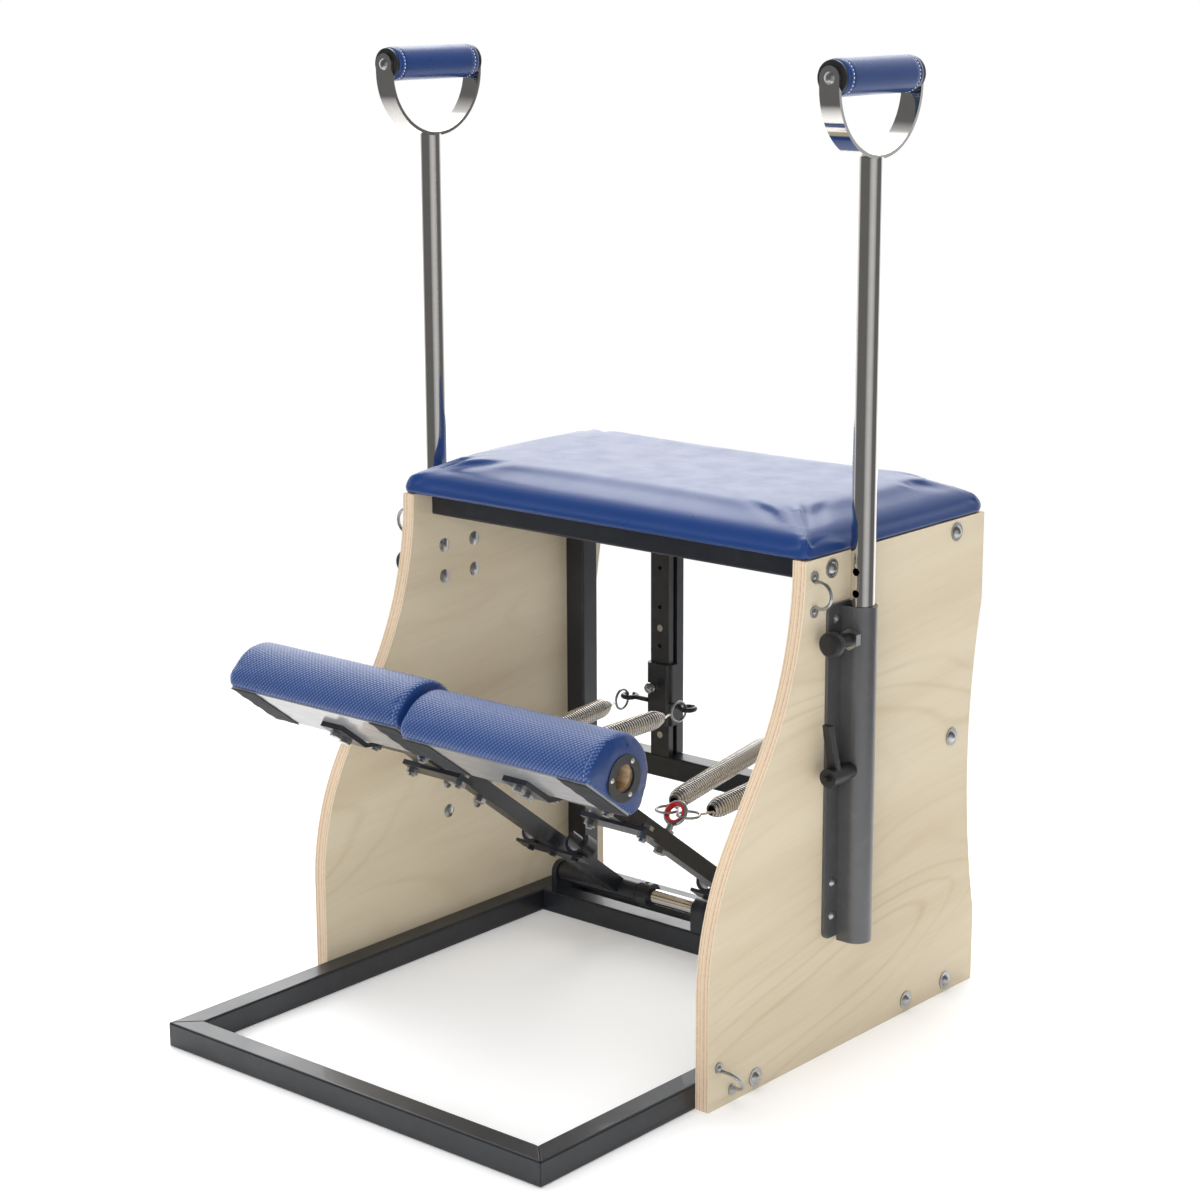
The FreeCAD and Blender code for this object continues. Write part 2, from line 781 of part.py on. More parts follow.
def handle_fittings():
    """Grip rod with end washers and screws, and the plug in the tube's foot."""
    solids = []
    inner = loop_half_width - loop_strap
    centre = Vector(handle_x, handle_y, grip_z)
    bar = rod(grip_rod_diameter, centre - Y_AXIS * inner, centre + Y_AXIS * inner)
    shank = grip_rod_diameter / 2
    for sign in SIDES.values():
        axis = Y_AXIS * sign
        washer_end = centre + axis * washer_reach()
        washer = rod(grip_washer_diameter, washer_end - axis * grip_washer, washer_end)
        seat = centre + axis * loop_half_width
        head = dome(grip_screw_diameter, grip_screw_head, seat, axis)
        bar = fuse([bar, rod(shank, washer_end, seat), head])
        solids.append(washer.cut(rod(grip_rod_diameter + 2 * bolt_gap, centre, seat)))
    foot = Vector(handle_x, handle_y, handle_foot)
    lip = rod(handle_diameter, foot, foot + Z_AXIS * plug_lip)
    stem_diameter = handle_diameter - 2 * handle_wall - 2 * pocket_gap
    stem = rod(stem_diameter, foot, foot + Z_AXIS * (plug_lip + plug_depth))
    return solids + [bar, fuse([lip, stem])]


def handles():
    """Both handles with their sleeves, plungers and clamp levers."""
    for name, sign in SIDES.items():
        save(name + "_panel", mirrored(panel(), sign))
        save(name + "_sleeve", mirrored(sleeve(), sign))
        save(name + "_sleeve_plunger", mirrored(plunger(), sign))
        save(name + "_clamp_lever", mirrored(lever(), sign))
        save(name + "_handle_frame", mirrored(handle_frame(), sign))
        save(name + "_handle_grip", mirrored(grip(), sign))
        save(name + "_handle_fittings", *[mirrored(solid, sign) for solid in handle_fittings()])
    sleeve_fasteners()


# Wire hooks on the panels' outer faces

def wire_hook(first, second):
    """Bowed wire between two screwed eyelets at (y, z) places on the right panel."""
    ends = [Vector(outer_x, y, z) for y, z in (first, second)]
    inward = unit(ends[1] - ends[0]) * (hook_eyelet_diameter / 2)
    lift = X_AXIS * (hook_wire_diameter / 2)
    start = ends[0] + inward + lift
    finish = ends[1] - inward + lift
    peak = (start + finish) * 0.5 + X_AXIS * hook_bulge
    path = Part.Wire([Part.Arc(start, peak, finish).toShape()])
    direction = path.Edges[0].tangentAt(path.Edges[0].FirstParameter)
    outline = Part.Wire([Part.Circle(start, direction, hook_wire_diameter / 2).toShape()])
    wire = path.makePipeShell([outline], True, False)
    above = box((outer_x, outer_x + 2 * hook_bulge), (front_y, back_y), (0, panel_height))
    eyelets = [rod(hook_eyelet_diameter, end, end + X_AXIS * hook_eyelet) for end in ends]
    screws = [dome(hook_screw_diameter, hook_screw_head, end + X_AXIS * hook_eyelet, X_AXIS) for end in ends]
    return [fuse([wire.common(above)] + eyelets)] + screws


def wire_hooks():
    """One upper and one lower hook on each panel."""
    top = panel_height - upper_hook_drop
    upper_y = panel_top_y + upper_hook_front_inset
    lower_y = toe_y + lower_hook_front_inset
    right = wire_hook((upper_y, top), (upper_y, top - upper_hook_span))
    low = lower_hook_height - lower_hook_span
    right += wire_hook((lower_y, lower_hook_height), (lower_y + lower_hook_back, low))
    save("wire_hooks", *right, *[mirrored(solid, -1) for solid in right])


# Pedal axle

def axle_support(low_x, high_x):
    """Upright lug on the cross bar with a rounded top and the axle's bore."""
    half = tube_size / 2
    start = Vector(low_x, pivot_y, pivot_height)
    end = Vector(high_x, pivot_y, pivot_height)
    body = box((low_x, high_x), (pivot_y - half, pivot_y + half), (tube_size, pivot_height))
    return fuse([body, rod(tube_size, start, end)]).cut(rod(shaft_diameter + 2 * bearing_gap, start, end))


def axle():
    """Shaft across the base, its supports and the set collars."""
    half_reach = X_AXIS * shaft_half_length
    save("pivot_shaft", rod(shaft_diameter, shaft_point - half_reach, shaft_point + half_reach))
    right = [axle_support(support_end_x, support_end_x + support_end_width)]
    start = shaft_point + X_AXIS * collar_inner_x
    end = start + X_AXIS * collar_width
    collar = rod(collar_diameter, start, end).cut(rod(shaft_diameter + 2 * bearing_gap, start, end))
    middle = (start + end) * 0.5
    screw_hole = rod(collar_screw_diameter, middle, middle + Z_AXIS * collar_diameter)
    right.append(collar.cut(screw_hole))
    left = [mirrored(solid, -1) for solid in right]
    centre = axle_support(-support_centre_width / 2, support_centre_width / 2)
    save("shaft_mounts", centre, *right, *left)


# Pedals, built level along the arm and then swung up about the axle

def at(x, along, height):
    """Point on the level pedal."""
    return Vector(x, -along, height)


def posed(shape, name):
    """The level right-hand shape, mirrored for its side and swung to its resting angle."""
    shape = mirrored(shape, SIDES[name])
    shape.rotate(Vector(), X_AXIS, -pedal_rest_angles[name])
    shape.translate(shaft_point)
    return shape


def posed_point(point, name):
    """A point of the level right-hand pedal in the right-hand frame, at its resting angle."""
    return FreeCAD.Rotation(X_AXIS, -pedal_rest_angles[name]).multVec(point) + shaft_point


def eye_hole():
    """Clearance hole through the arm for the eyebolt."""
    start = at(arm_x, eye_place, -arm_size)
    return rod(bracket_bolt_diameter + 2 * bolt_gap, start, start + Z_AXIS * 2 * arm_size)


def pedal_arm():
    """Square arm welded to the tube that turns on the axle, closed at its far end."""
    half = arm_half - arm_wall
    x = (arm_x - arm_half, arm_x + arm_half)
    bore_x = (arm_x - half, arm_x + half)
    outside = box(x, (-arm_end, -arm_start), (-arm_half, arm_half))
    arm = outside.cut(box(bore_x, (arm_cap - arm_end, -arm_start), (-half, half)))
    start = Vector(pedal_tube_inner_x, 0, 0)
    end = Vector(pedal_tube_outer_x, 0, 0)
    hub = rod(pedal_tube_diameter, start, end)
    bore = rod(shaft_diameter + 2 * bearing_gap, start, end)
    return fuse([arm, hub]).cut([bore, eye_hole()])


def cross_bolt_points():
    """Where the bolts pass the top of the two cross plates."""
    points = []
    for along in cross_plate_places:
        for side in (-1, 1):
            points.append(at(arm_x + side * cross_bolt_offset, along, -arm_half - cross_plate_drop))
    return points


def cross_bolt_holes():
    """Clearance holes through the cross plates."""
    diameter = bracket_bolt_diameter + 2 * bolt_gap
    past = Z_AXIS * overrun
    down = Z_AXIS * bracket_thickness + past
    return [rod(diameter, top + past, top - down) for top in cross_bolt_points()]


def pedal_bracket():
    """Cranked flat bar from under the arm to under the pad, with two cross plates welded to it."""
    line = (
        (bracket_start, -arm_half),
        (bracket_crank_start, -arm_half),
        (bracket_crank_end, pad_base_height),
        (bracket_end, pad_base_height),
    )
    low_x = arm_x - bracket_width / 2
    top = [at(low_x, along, height) for along, height in line]
    bottom = [point - Z_AXIS * bracket_thickness for point in reversed(top)]
    parts = [prism(top + bottom, X_AXIS * bracket_width)]
    x = (arm_x - cross_plate_half_length, arm_x + cross_plate_half_length)
    level = -arm_half - cross_plate_drop
    for along in cross_plate_places:
        y = (-along - cross_plate_width / 2, cross_plate_width / 2 - along)
        parts.append(box(x, y, (level - bracket_thickness, level)))
    return fuse(parts).cut(cross_bolt_holes() + board_bolt_holes())


def board_bolt_holes():
    """Clearance holes through the bracket and up into the pad's core."""
    holes = []
    for along in board_bolt_places:
        start = at(arm_x, along, pad_base_height - bracket_thickness - overrun)
        end = at(arm_x, along, pad_base_height + board_bolt_depth + bolt_gap)
        holes.append(rod(bracket_bolt_diameter + 2 * bolt_gap, start, end))
    return holes


def bracket_bolts():
    """Hexagon bolts with nuts at the cross plates' ends, and two bolts up into the core."""
    bolts = []
    for top in cross_bolt_points():
        under = top - Z_AXIS * bracket_thickness
        foot = under - Z_AXIS * bracket_nut
        head = hex_bar(bracket_nut_flats, top, top + Z_AXIS * bracket_head)
        nut = hex_bar(bracket_nut_flats, under, foot)
        bolts.append(fuse([rod(bracket_bolt_diameter, foot - Z_AXIS * bracket_bolt_spare, top), head, nut]))
    for along in board_bolt_places:
        under = at(arm_x, along, pad_base_height - bracket_thickness)
        foot = under - Z_AXIS * bracket_nut
        tip = at(arm_x, along, pad_base_height + board_bolt_depth)
        bolts.append(fuse([rod(bracket_bolt_diameter, foot, tip), hex_bar(bracket_nut_flats, under, foot)]))
    return bolts


def pad_outline(x, share):
    """Rounded D outline of the pad, drawn in to a share of its size about its middle."""
    base = pad_base_height + pad_thickness * (1 - share) / 2
    half_base = share * pad_base_width / 2
    half_width = share * pad_width / 2
    belly = base + share * pad_belly_height
    top = at(x, pad_centre, base + share * pad_thickness)

    def corner(sign):
        low = at(x, pad_centre + sign * half_base, base)
        wide = at(x, pad_centre + sign * half_width, belly)
        out = (wide - low).cross(X_AXIS * sign)
        out.normalize()
        return low, (low + wide) * 0.5 + out * pad_corner_bulge, wide

    front = corner(1)
    back = corner(-1)
    edges = [
        Part.LineSegment(back[0], front[0]),
        Part.Arc(front[0], front[1], front[2]),
        Part.Arc(front[2], top, back[2]),
        Part.Arc(back[2], back[1], back[0]),
    ]
    return Part.Wire([edge.toShape() for edge in edges])


def core_block(gap):
    """Wooden block inside the pad, rounded along its upper edges, or its pocket with a gap."""
    x = (pad_inner_x + core_end_inset - gap, pad_outer_x - core_end_inset + gap)
    half = core_width / 2 + gap
    y = (-pad_centre - half, half - pad_centre)
    block = box(x, y, (pad_base_height, pad_base_height + core_height + gap))
    upper = []
    for edge in block.Edges:
        middle = edge.CenterOfMass
        along_x = abs(edge.tangentAt(edge.FirstParameter).x) > 0.9
        if along_x and middle.z > pad_base_height + core_height / 2:
            upper.append(edge)
    return block.makeFillet(core_round, upper)


def sockets(diameter):
    """Round sockets from each end of the pad along its length."""
    inner = at(pad_inner_x, socket_centre, socket_height)
    outer = at(pad_outer_x, socket_centre, socket_height)
    reach = X_AXIS * socket_depth
    past = X_AXIS * overrun
    return [rod(diameter, inner - past, inner + reach), rod(diameter, outer - reach, outer + past)]


def pedal_core():
    """Wooden core with a dowel socket in each end."""
    return core_block(0).cut(sockets(socket_diameter) + board_bolt_holes())


def pedal_pad():
    """Upholstered D-shaped pad over the core, open at its end sockets."""
    ends = (pad_inner_x, pad_outer_x)
    places = (ends[0], ends[0] + pad_end_round, ends[1] - pad_end_round, ends[1])
    shares = (pad_end_share, 1, 1, pad_end_share)
    pad = Part.makeLoft([pad_outline(x, share) for x, share in zip(places, shares)], True, True)
    below = box(
        (pad_inner_x + core_end_inset - pocket_gap, pad_outer_x - core_end_inset + pocket_gap),
        (-pad_centre - core_width / 2 - pocket_gap, core_width / 2 + pocket_gap - pad_centre),
        (pad_base_height - overrun, pad_base_height + core_height / 2),
    )
    return pad.cut([core_block(pocket_gap), below] + sockets(socket_diameter))


def pad_end_rings():
    """Flanged rings round the sockets, each held by three screws."""
    solids = []
    for x, sign in ((pad_outer_x, 1), (pad_inner_x, -1)):
        seat = at(x, socket_centre, socket_height)
        face = seat + X_AXIS * sign * ring_thickness
        ring = rod(ring_diameter, seat, face).cut(rod(socket_diameter, seat, face))
        solids.append(ring)
        if sign < 0:
            continue
        screw_radius = (ring_diameter + socket_diameter) / 4
        for step in range(ring_screw_count):
            turn = 2 * math.pi * step / ring_screw_count
            offset = Vector(0, screw_radius * math.sin(turn), screw_radius * math.cos(turn))
            solids.append(dome(ring_screw_diameter, ring_screw_head, face + offset, X_AXIS * sign))
    return solids


def eyebolt():
    """Ring bolt through the arm with a collar above and a nut below."""
    foot = at(arm_x, eye_place, -arm_half - bracket_nut)
    under = at(arm_x, eye_place, -arm_half)
    top = at(arm_x, eye_place, arm_half)
    centre = at(arm_x, eye_place, eye_height)
    shank = rod(eye_shank_diameter, foot, centre - Z_AXIS * (eye_radius + eye_wire / 4))
    collar = rod(eye_collar_diameter, top, top + Z_AXIS * eye_collar)
    nut = hex_bar(bracket_nut_flats, foot, under)
    ring = Part.makeTorus(eye_radius, eye_wire / 2, centre, Y_AXIS)
    return fuse([shank, collar, nut, ring])


def eye_liner():
    """Moulded liner that wraps the inside of the ring bolt's eye."""
    centre = at(arm_x, eye_place, eye_height)
    wire_centre = centre + Z_AXIS * eye_radius
    inner = eye_wire / 2 + liner_gap
    outer = inner + liner_wall

    def on_wire(radius, degrees):
        turn = math.radians(degrees)
        return wire_centre + Vector(0, radius * math.sin(turn), -radius * math.cos(turn))

    edges = [
        Part.Arc(on_wire(inner, -liner_wrap), on_wire(inner, 0), on_wire(inner, liner_wrap)),
        Part.LineSegment(on_wire(inner, liner_wrap), on_wire(outer, liner_wrap)),
        Part.Arc(on_wire(outer, liner_wrap), on_wire(outer, 0), on_wire(outer, -liner_wrap)),
        Part.LineSegment(on_wire(outer, -liner_wrap), on_wire(inner, -liner_wrap)),
    ]
    section = Part.Face(Part.Wire([edge.toShape() for edge in edges]))
    return section.revolve(centre, Y_AXIS, 360)


def arm_clips():
    """Cross plate under the arm with two open clips for dowels, and the nuts under it."""
    top = -arm_half
    low = top - clip_plate
    x = (arm_x - clip_plate_half_length, arm_x + clip_plate_half_length)
    y = (-clip_place - clip_plate_width / 2, clip_plate_width / 2 - clip_place)
    parts = [box(x, y, (low, top))]
    nuts = []
    reach = Y_AXIS * clip_plate_width
    centre_height = top + clip_outer_radius - clip_seat
    half_mouth = math.radians(clip_mouth / 2)
    far = 2 * clip_outer_radius
    for offset in (-clip_offset, clip_offset):
        centre = Vector(arm_x + offset, y[0], centre_height)
        mouth = [centre]
        for sign in (-1, 1):
            mouth.append(centre + Vector(sign * far * math.sin(half_mouth), 0, far * math.cos(half_mouth)))
        ring = rod(2 * clip_outer_radius, centre, centre + reach)
        parts.append(ring.cut([rod(2 * clip_inner_radius, centre, centre + reach), prism(mouth, reach)]))
    for offset in (-clip_offset, 0, clip_offset):
        seat = at(arm_x + offset, clip_place, low)
        nuts.append(hex_bar(clip_nut_flats, seat, seat - Z_AXIS * clip_nut))
    return [fuse(parts)] + nuts


def pedals():
    """Both pedals, each at its own resting angle."""
    pieces = {
        "pedal_arm": [pedal_arm()],
        "pedal_bracket": [pedal_bracket()],
        "bracket_bolts": bracket_bolts(),
        "pedal_core": [pedal_core()],
        "pedal_pad": [pedal_pad()],
        "pad_end_rings": pad_end_rings(),
        "spring_eyebolt": [eyebolt()],
        "eye_liner": [eye_liner()],
        "arm_clips": arm_clips(),
    }
    for name in SIDES:
        for piece, solids in pieces.items():
            save(name + "_" + piece, *[posed(solid.copy(), name) for solid in solids])


# Spring carriages

def open_hook():
    """Open eye on a stem, on the outer side of the right carriage."""
    eye = Vector(post_x + hook_offset, hook_y, hook_height)
    ring = Part.makeTorus(hook_radius, hook_rod / 2, Vector(), Z_AXIS, 0, 360, hook_open)
    ring.rotate(Vector(), Z_AXIS, hook_mouth_angle - (360 + hook_open) / 2)
    ring.translate(eye)
    stem_start = Vector(post_x + carriage_half + carriage_wall / 2, hook_y, hook_height)
    stem_end = eye - X_AXIS * hook_radius
    return [ring, rod(hook_rod, stem_start, stem_end)]


def carriage():
    """C-shaped slider that runs on the post's front flange and carries two open hooks."""
    z = (carriage_bottom, carriage_bottom + carriage_height)
    outer = carriage_half + carriage_wall
    groove_y = rear_front_y + post_front_flange + slide_gap
    lip_y = groove_y + carriage_wall
    neck = tube_size / 2 - post_groove_depth + slide_gap
    body = box((post_x - outer, post_x + outer), (carriage_front_y, lip_y), z)
    front_edges = []
    for edge in body.Edges:
        upright = abs(edge.tangentAt(edge.FirstParameter).z) > 0.9
        if upright and edge.CenterOfMass.y < rear_front_y:
            front_edges.append(edge)
    body = body.makeFillet(carriage_round, front_edges)
    channel = box((post_x - carriage_half, post_x + carriage_half), (rear_front_y - slide_gap, groove_y), z)
    slot = box((post_x - neck, post_x + neck), (rear_front_y, lip_y + overrun), z)
    pin_point = Vector(post_x, rear_front_y, post_hole_first)
    hole = rod(pin_diameter + 2 * slide_gap, pin_point, pin_point - Y_AXIS * (carriage_wall + overrun))
    parts = [body.cut([channel, slot, hole])]
    for part in open_hook():
        parts += [part, part.mirror(Vector(post_x, 0, 0), X_AXIS)]
    return fuse(parts)


def carriage_pin():
    """Locking pin with a ball knob, tip just clear of the post."""
    tip = Vector(post_x, rear_front_y - slide_gap, post_hole_first)
    seat = Vector(post_x, carriage_front_y - slide_gap, post_hole_first)
    shank_end = seat - Y_AXIS * pin_shank
    ball = Part.makeSphere(pin_knob_diameter / 2, shank_end - Y_AXIS * pin_knob_diameter / 4)
    return fuse([rod(pin_diameter, tip, seat), rod(pin_shank_diameter, seat, shank_end), ball])


def carriages():
    """Posts with their carriages and pins."""
    for name, sign in SIDES.items():
        save(name + "_spring_post", mirrored(spring_post(), sign))
        save(name + "_carriage", mirrored(carriage(), sign))
        save(name + "_carriage_pin", mirrored(carriage_pin(), sign))


# Springs

def arc_through(start, corner, end):
    """Arc from start to end, tangent to the two lines that meet at corner."""
    weight = (end - start).Length / 2 / (corner - start).Length
    middle = (start + corner * (2 * weight) + end) / (2 + 2 * weight)
    return Part.Arc(start, middle, end).toShape()


def biarc(start, start_way, end, end_way):
    """Two tangent arcs between points with given directions."""
    span = end - start
    ways = start_way + end_way
    spread = 2 * (1 - start_way.dot(end_way))
    pull = span.dot(ways)
    reach = (math.sqrt(pull ** 2 + spread * span.dot(span)) - pull) / spread
    first = start + start_way * reach
    second = end - end_way * reach
    meet = (first + second) / 2
    return [arc_through(start, first, meet), arc_through(meet, second, end)]


def coil_stations(start, end):
    """Points and directions at each quarter turn of the tapered coil."""
    axis = unit(end - start)
    side = unit(axis.cross(Z_AXIS))
    up = side.cross(axis)
    full = (spring_diameter - spring_wire) / 2
    quarters = 4 * spring_turns
    taper = 4 * spring_taper_turns

    def place(step):
        edge_share = min(step, quarters - step) / taper
        swell_share = min(max(edge_share, 0), 1)
        radius = full * (spring_tip_share + (1 - spring_tip_share) * swell_share)
        turn = math.pi / 2 * step
        spoke = side * (radius * math.cos(turn)) + up * (radius * math.sin(turn))
        return start + (end - start) * (step / quarters) + spoke

    nudge_share = 0.001
    stations = []
    for step in range(quarters + 1):
        way = unit(place(step + nudge_share) - place(step - nudge_share))
        stations.append((place(step), way))
    return stations


def coil_wire(front, front_way, rear, rear_way):
    """Unbroken path from the front link to the rear link, straight for one wire at each end."""
    first = front + front_way * spring_wire
    last = rear - rear_way * spring_wire
    lead = spring_diameter / 2
    axis = unit(last - first)
    stations = [(first, front_way)]
    stations += coil_stations(first + axis * lead, last - axis * lead)
    stations.append((last, rear_way))
    edges = [Part.LineSegment(front, first).toShape()]
    for here, after in zip(stations, stations[1:]):
        edges += biarc(here[0], here[1], after[0], after[1])
    edges.append(Part.LineSegment(last, rear).toShape())
    return Part.Wire(edges)


def least_gap(path):
    """Smallest distance between parts of a coil's wire that lie more than a quarter turn apart."""
    points = []
    run = 0.0
    for edge in path.Edges:
        for share in (0.0, 0.25, 0.5, 0.75):
            along = edge.FirstParameter + share * (edge.LastParameter - edge.FirstParameter)
            points.append((run + share * edge.Length, edge.valueAt(along)))
        run += edge.Length
    apart = math.pi * spring_diameter / 4
    least = run
    for index, (here_run, here) in enumerate(points):
        for there_run, there in points[index + 1:]:
            if there_run - here_run > apart:
                least = min(least, here.distanceToPoint(there))
    return least - spring_wire


def spring(name, side):
    """Coil with a link ring at each end, from the eyebolt back to the carriage's hook."""
    eye = posed_point(at(arm_x, eye_place, eye_height), name)
    normal = posed_point(Z_AXIS, name) - shaft_point
    splay = math.radians(link_splay)
    way = Vector(side * math.sin(splay), math.cos(splay), 0)
    wire_centre = eye + X_AXIS * side * eye_radius
    tilt_share = (way - normal * way.dot(normal)).Length
    eye_wall = eye_wire / 2 + liner_gap + liner_wall
    reach = link_radius - (link_wire / 2 + eye_wall) / tilt_share - link_eye_gap
    front_centre = wire_centre + way * reach
    tip = link_radius + link_wire / 2 + link_seat_gap
    front = front_centre + way * tip
    hook = Vector(post_x + side * hook_offset, hook_y, hook_height)
    pull = unit(front - hook)
    bite = hook_radius - hook_rod / 2 - link_wire / 2 - link_gap
    rear_centre = hook + pull * (bite + link_radius)
    rear = rear_centre + pull * tip
    path = coil_wire(front, way, rear, pull * -1)
    print(name, "spring, least gap between turns:", round(least_gap(path), 2))
    outline = Part.Wire([Part.Circle(front, way, spring_wire / 2).toShape()])
    coil = path.makePipeShell([outline], True, False)
    front_link = Part.makeTorus(link_radius, link_wire / 2, front_centre, Z_AXIS)
    rear_link = Part.makeTorus(link_radius, link_wire / 2, rear_centre, pull.cross(Z_AXIS))
    return [coil, front_link, rear_link]


def springs():
    """Two springs for each pedal."""
    for name, sign in SIDES.items():
        for place, side in (("inner", -1), ("outer", 1)):
            solids = [mirrored(solid, sign) for solid in spring(name, side)]
            save(name + "_spring_" + place, *solids)


def main():
    os.makedirs("parts", exist_ok=True)
    frame()
    frame_fasteners()
    seat()
    handles()
    wire_hooks()
    axle()
    pedals()
    carriages()
    springs()


main()
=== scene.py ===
"""Looks of the pilates chair, in metres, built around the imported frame."""

import json
import math

import bmesh
import bpy
from mathutils import Matrix, Vector
from mathutils.bvhtree import BVHTree


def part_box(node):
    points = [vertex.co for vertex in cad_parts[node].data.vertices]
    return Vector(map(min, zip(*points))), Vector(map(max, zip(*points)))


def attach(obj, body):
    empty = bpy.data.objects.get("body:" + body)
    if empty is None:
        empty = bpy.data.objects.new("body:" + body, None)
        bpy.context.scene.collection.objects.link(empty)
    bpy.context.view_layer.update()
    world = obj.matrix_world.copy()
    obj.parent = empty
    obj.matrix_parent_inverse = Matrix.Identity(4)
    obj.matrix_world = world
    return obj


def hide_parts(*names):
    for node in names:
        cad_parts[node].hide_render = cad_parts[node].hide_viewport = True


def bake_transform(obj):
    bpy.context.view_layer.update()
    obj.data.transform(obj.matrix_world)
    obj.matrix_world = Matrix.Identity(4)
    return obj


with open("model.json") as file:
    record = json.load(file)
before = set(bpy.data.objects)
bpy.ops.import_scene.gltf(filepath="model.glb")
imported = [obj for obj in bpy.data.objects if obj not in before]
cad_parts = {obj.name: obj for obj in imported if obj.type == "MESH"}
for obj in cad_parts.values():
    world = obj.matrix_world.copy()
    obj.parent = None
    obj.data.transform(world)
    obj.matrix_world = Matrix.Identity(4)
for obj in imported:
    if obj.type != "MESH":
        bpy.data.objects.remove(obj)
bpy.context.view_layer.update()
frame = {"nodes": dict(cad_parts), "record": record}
nodes = frame["nodes"]
SIDES = {"left": -1, "right": 1}

# Camera, at the photograph's angle
CAMERA_PLACE = Vector((2.00445, -2.29597, 1.24193))
CAMERA_YAW = math.radians(40.55)
CAMERA_PITCH = math.radians(-13.5)
CAMERA_ROLL = math.radians(-0.25)
CAMERA_LENS_MM = 80.405
SENSOR_MM = 36.0

# Colours, linear
BLUE = (0.012, 0.043, 0.168, 1)
BLUE_DEEP = (0.009, 0.033, 0.132, 1)
# Lighter specks of the pad weave, partly the weave's own colour and partly painted highlight
BLUE_SPECK_AND_HIGHLIGHT = (0.085, 0.140, 0.300, 1)
MAPLE_PALE = (0.735, 0.642, 0.480, 1)
MAPLE_DARK = (0.565, 0.460, 0.300, 1)
PLY_CREAM = (0.700, 0.560, 0.400, 1)
PLY_PINK = (0.560, 0.400, 0.290, 1)
PLY_LINE = (0.270, 0.165, 0.100, 1)
BLACK_PAINT = (0.0120, 0.0135, 0.0175, 1)
BLACK_WORN = (0.0220, 0.0240, 0.0290, 1)
GRAPHITE = (0.105, 0.106, 0.110, 1)
GRAPHITE_LIGHT = (0.130, 0.132, 0.137, 1)
BLACK_PLASTIC = (0.012, 0.012, 0.013, 1)
CHROME = (0.700, 0.680, 0.650, 1)
CHROME_DULL = (0.640, 0.620, 0.590, 1)
NICKEL = (0.860, 0.820, 0.760, 1)
NICKEL_DARK = (0.760, 0.710, 0.640, 1)
# Painted shade between the spring's coils, on the wire's inner side
COIL_PAINTED_SHADE = (0.060, 0.048, 0.036, 1)
ZINC = (0.560, 0.565, 0.570, 1)
ZINC_DARK = (0.330, 0.335, 0.340, 1)
RED = (0.560, 0.012, 0.014, 1)
RED_DARK = (0.380, 0.008, 0.010, 1)
BOARD_WHITE = (0.780, 0.775, 0.760, 1)
BOARD_GREY = (0.640, 0.635, 0.620, 1)
LAMINATE = (0.250, 0.252, 0.260, 1)
LAMINATE_DARK = (0.220, 0.222, 0.230, 1)
BARE_WOOD = (0.420, 0.260, 0.130, 1)
FABRIC_GREY = (0.020, 0.021, 0.024, 1)
THREAD = (0.620, 0.640, 0.680, 1)
SEAM_BLUE = (0.170, 0.230, 0.400, 1)
PLUG_WHITE = (0.700, 0.700, 0.680, 1)
STAGE_WHITE = (1, 1, 1, 1)


def node(tree, kind, inputs=(), **settings):
    """A shader node with its settings, and its inputs set to values or linked to sockets."""
    made = tree.nodes.new(kind)
    for name, value in settings.items():
        setattr(made, name, value)
    for key, value in dict(inputs).items():
        if isinstance(value, bpy.types.NodeSocket):
            tree.links.new(value, made.inputs[key])
        else:
            made.inputs[key].default_value = value
    return made


def math_node(tree, operation, first, second=0.0):
    made = node(tree, "ShaderNodeMath", {0: first, 1: second}, operation=operation)
    return made.outputs[0]


def mix_colour(tree, factor, low, high):
    made = node(tree, "ShaderNodeMix", {0: factor, 6: low, 7: high}, data_type="RGBA")
    return made.outputs[2]


def map_range(tree, value, low, high, to_low=0.0, to_high=1.0):
    inputs = {0: value, 1: low, 2: high, 3: to_low, 4: to_high}
    return node(tree, "ShaderNodeMapRange", inputs).outputs[0]


def ramp(tree, value, stops):
    """A colour ramp through (place, colour) stops."""
    made = node(tree, "ShaderNodeValToRGB", {0: value})
    elements = made.color_ramp.elements
    while len(elements) < len(stops):
        elements.new(1.0)
    for element, (place, colour) in zip(elements, stops):
        element.position = place
        element.color = colour
    return made.outputs[0]


def noise(tree, place, scale, detail=4.0, roughness=0.55):
    inputs = {"Vector": place, "Scale": scale, "Detail": detail, "Roughness": roughness}
    return node(tree, "ShaderNodeTexNoise", inputs).outputs["Fac"]


def object_place(tree):
    return node(tree, "ShaderNodeTexCoord").outputs["Object"]


def mapped(tree, place, turn=(0, 0, 0), scale=(1, 1, 1)):
    inputs = {"Vector": place, "Rotation": turn, "Scale": scale}
    return node(tree, "ShaderNodeMapping", inputs).outputs[0]


def stretched(tree, place, share):
    """A place whose pattern is drawn out along the chair's depth."""
    return mapped(tree, place, scale=(1.0, share, 1.0))


def axis_parts(tree, place):
    return node(tree, "ShaderNodeSeparateXYZ", {0: place}).outputs


def new_group(name, outputs):
    tree = bpy.data.node_groups.new(name, "ShaderNodeTree")
    for title, kind in outputs.items():
        tree.interface.new_socket(title, in_out="OUTPUT", socket_type="NodeSocket" + kind)
    return tree


def group_outputs(tree, sockets):
    node(tree, "NodeGroupOutput", sockets)
    return tree


def use_group(tree, group):
    return node(tree, "ShaderNodeGroup", node_tree=group).outputs


def new_material(name, **constants):
    """A material with its tree and shader; constants go on the shader's own sockets."""
    made = bpy.data.materials.new(name)
    made.use_nodes = True
    tree = made.node_tree
    shader = tree.nodes["Principled BSDF"]
    for key, value in constants.items():
        shader.inputs[key.replace("_", " ")].default_value = value
    return made, tree, shader


def link_bump(tree, shader, height, distance, strength):
    inputs = {"Height": height, "Distance": distance, "Strength": strength}
    tree.links.new(node(tree, "ShaderNodeBump", inputs).outputs[0], shader.inputs["Normal"])


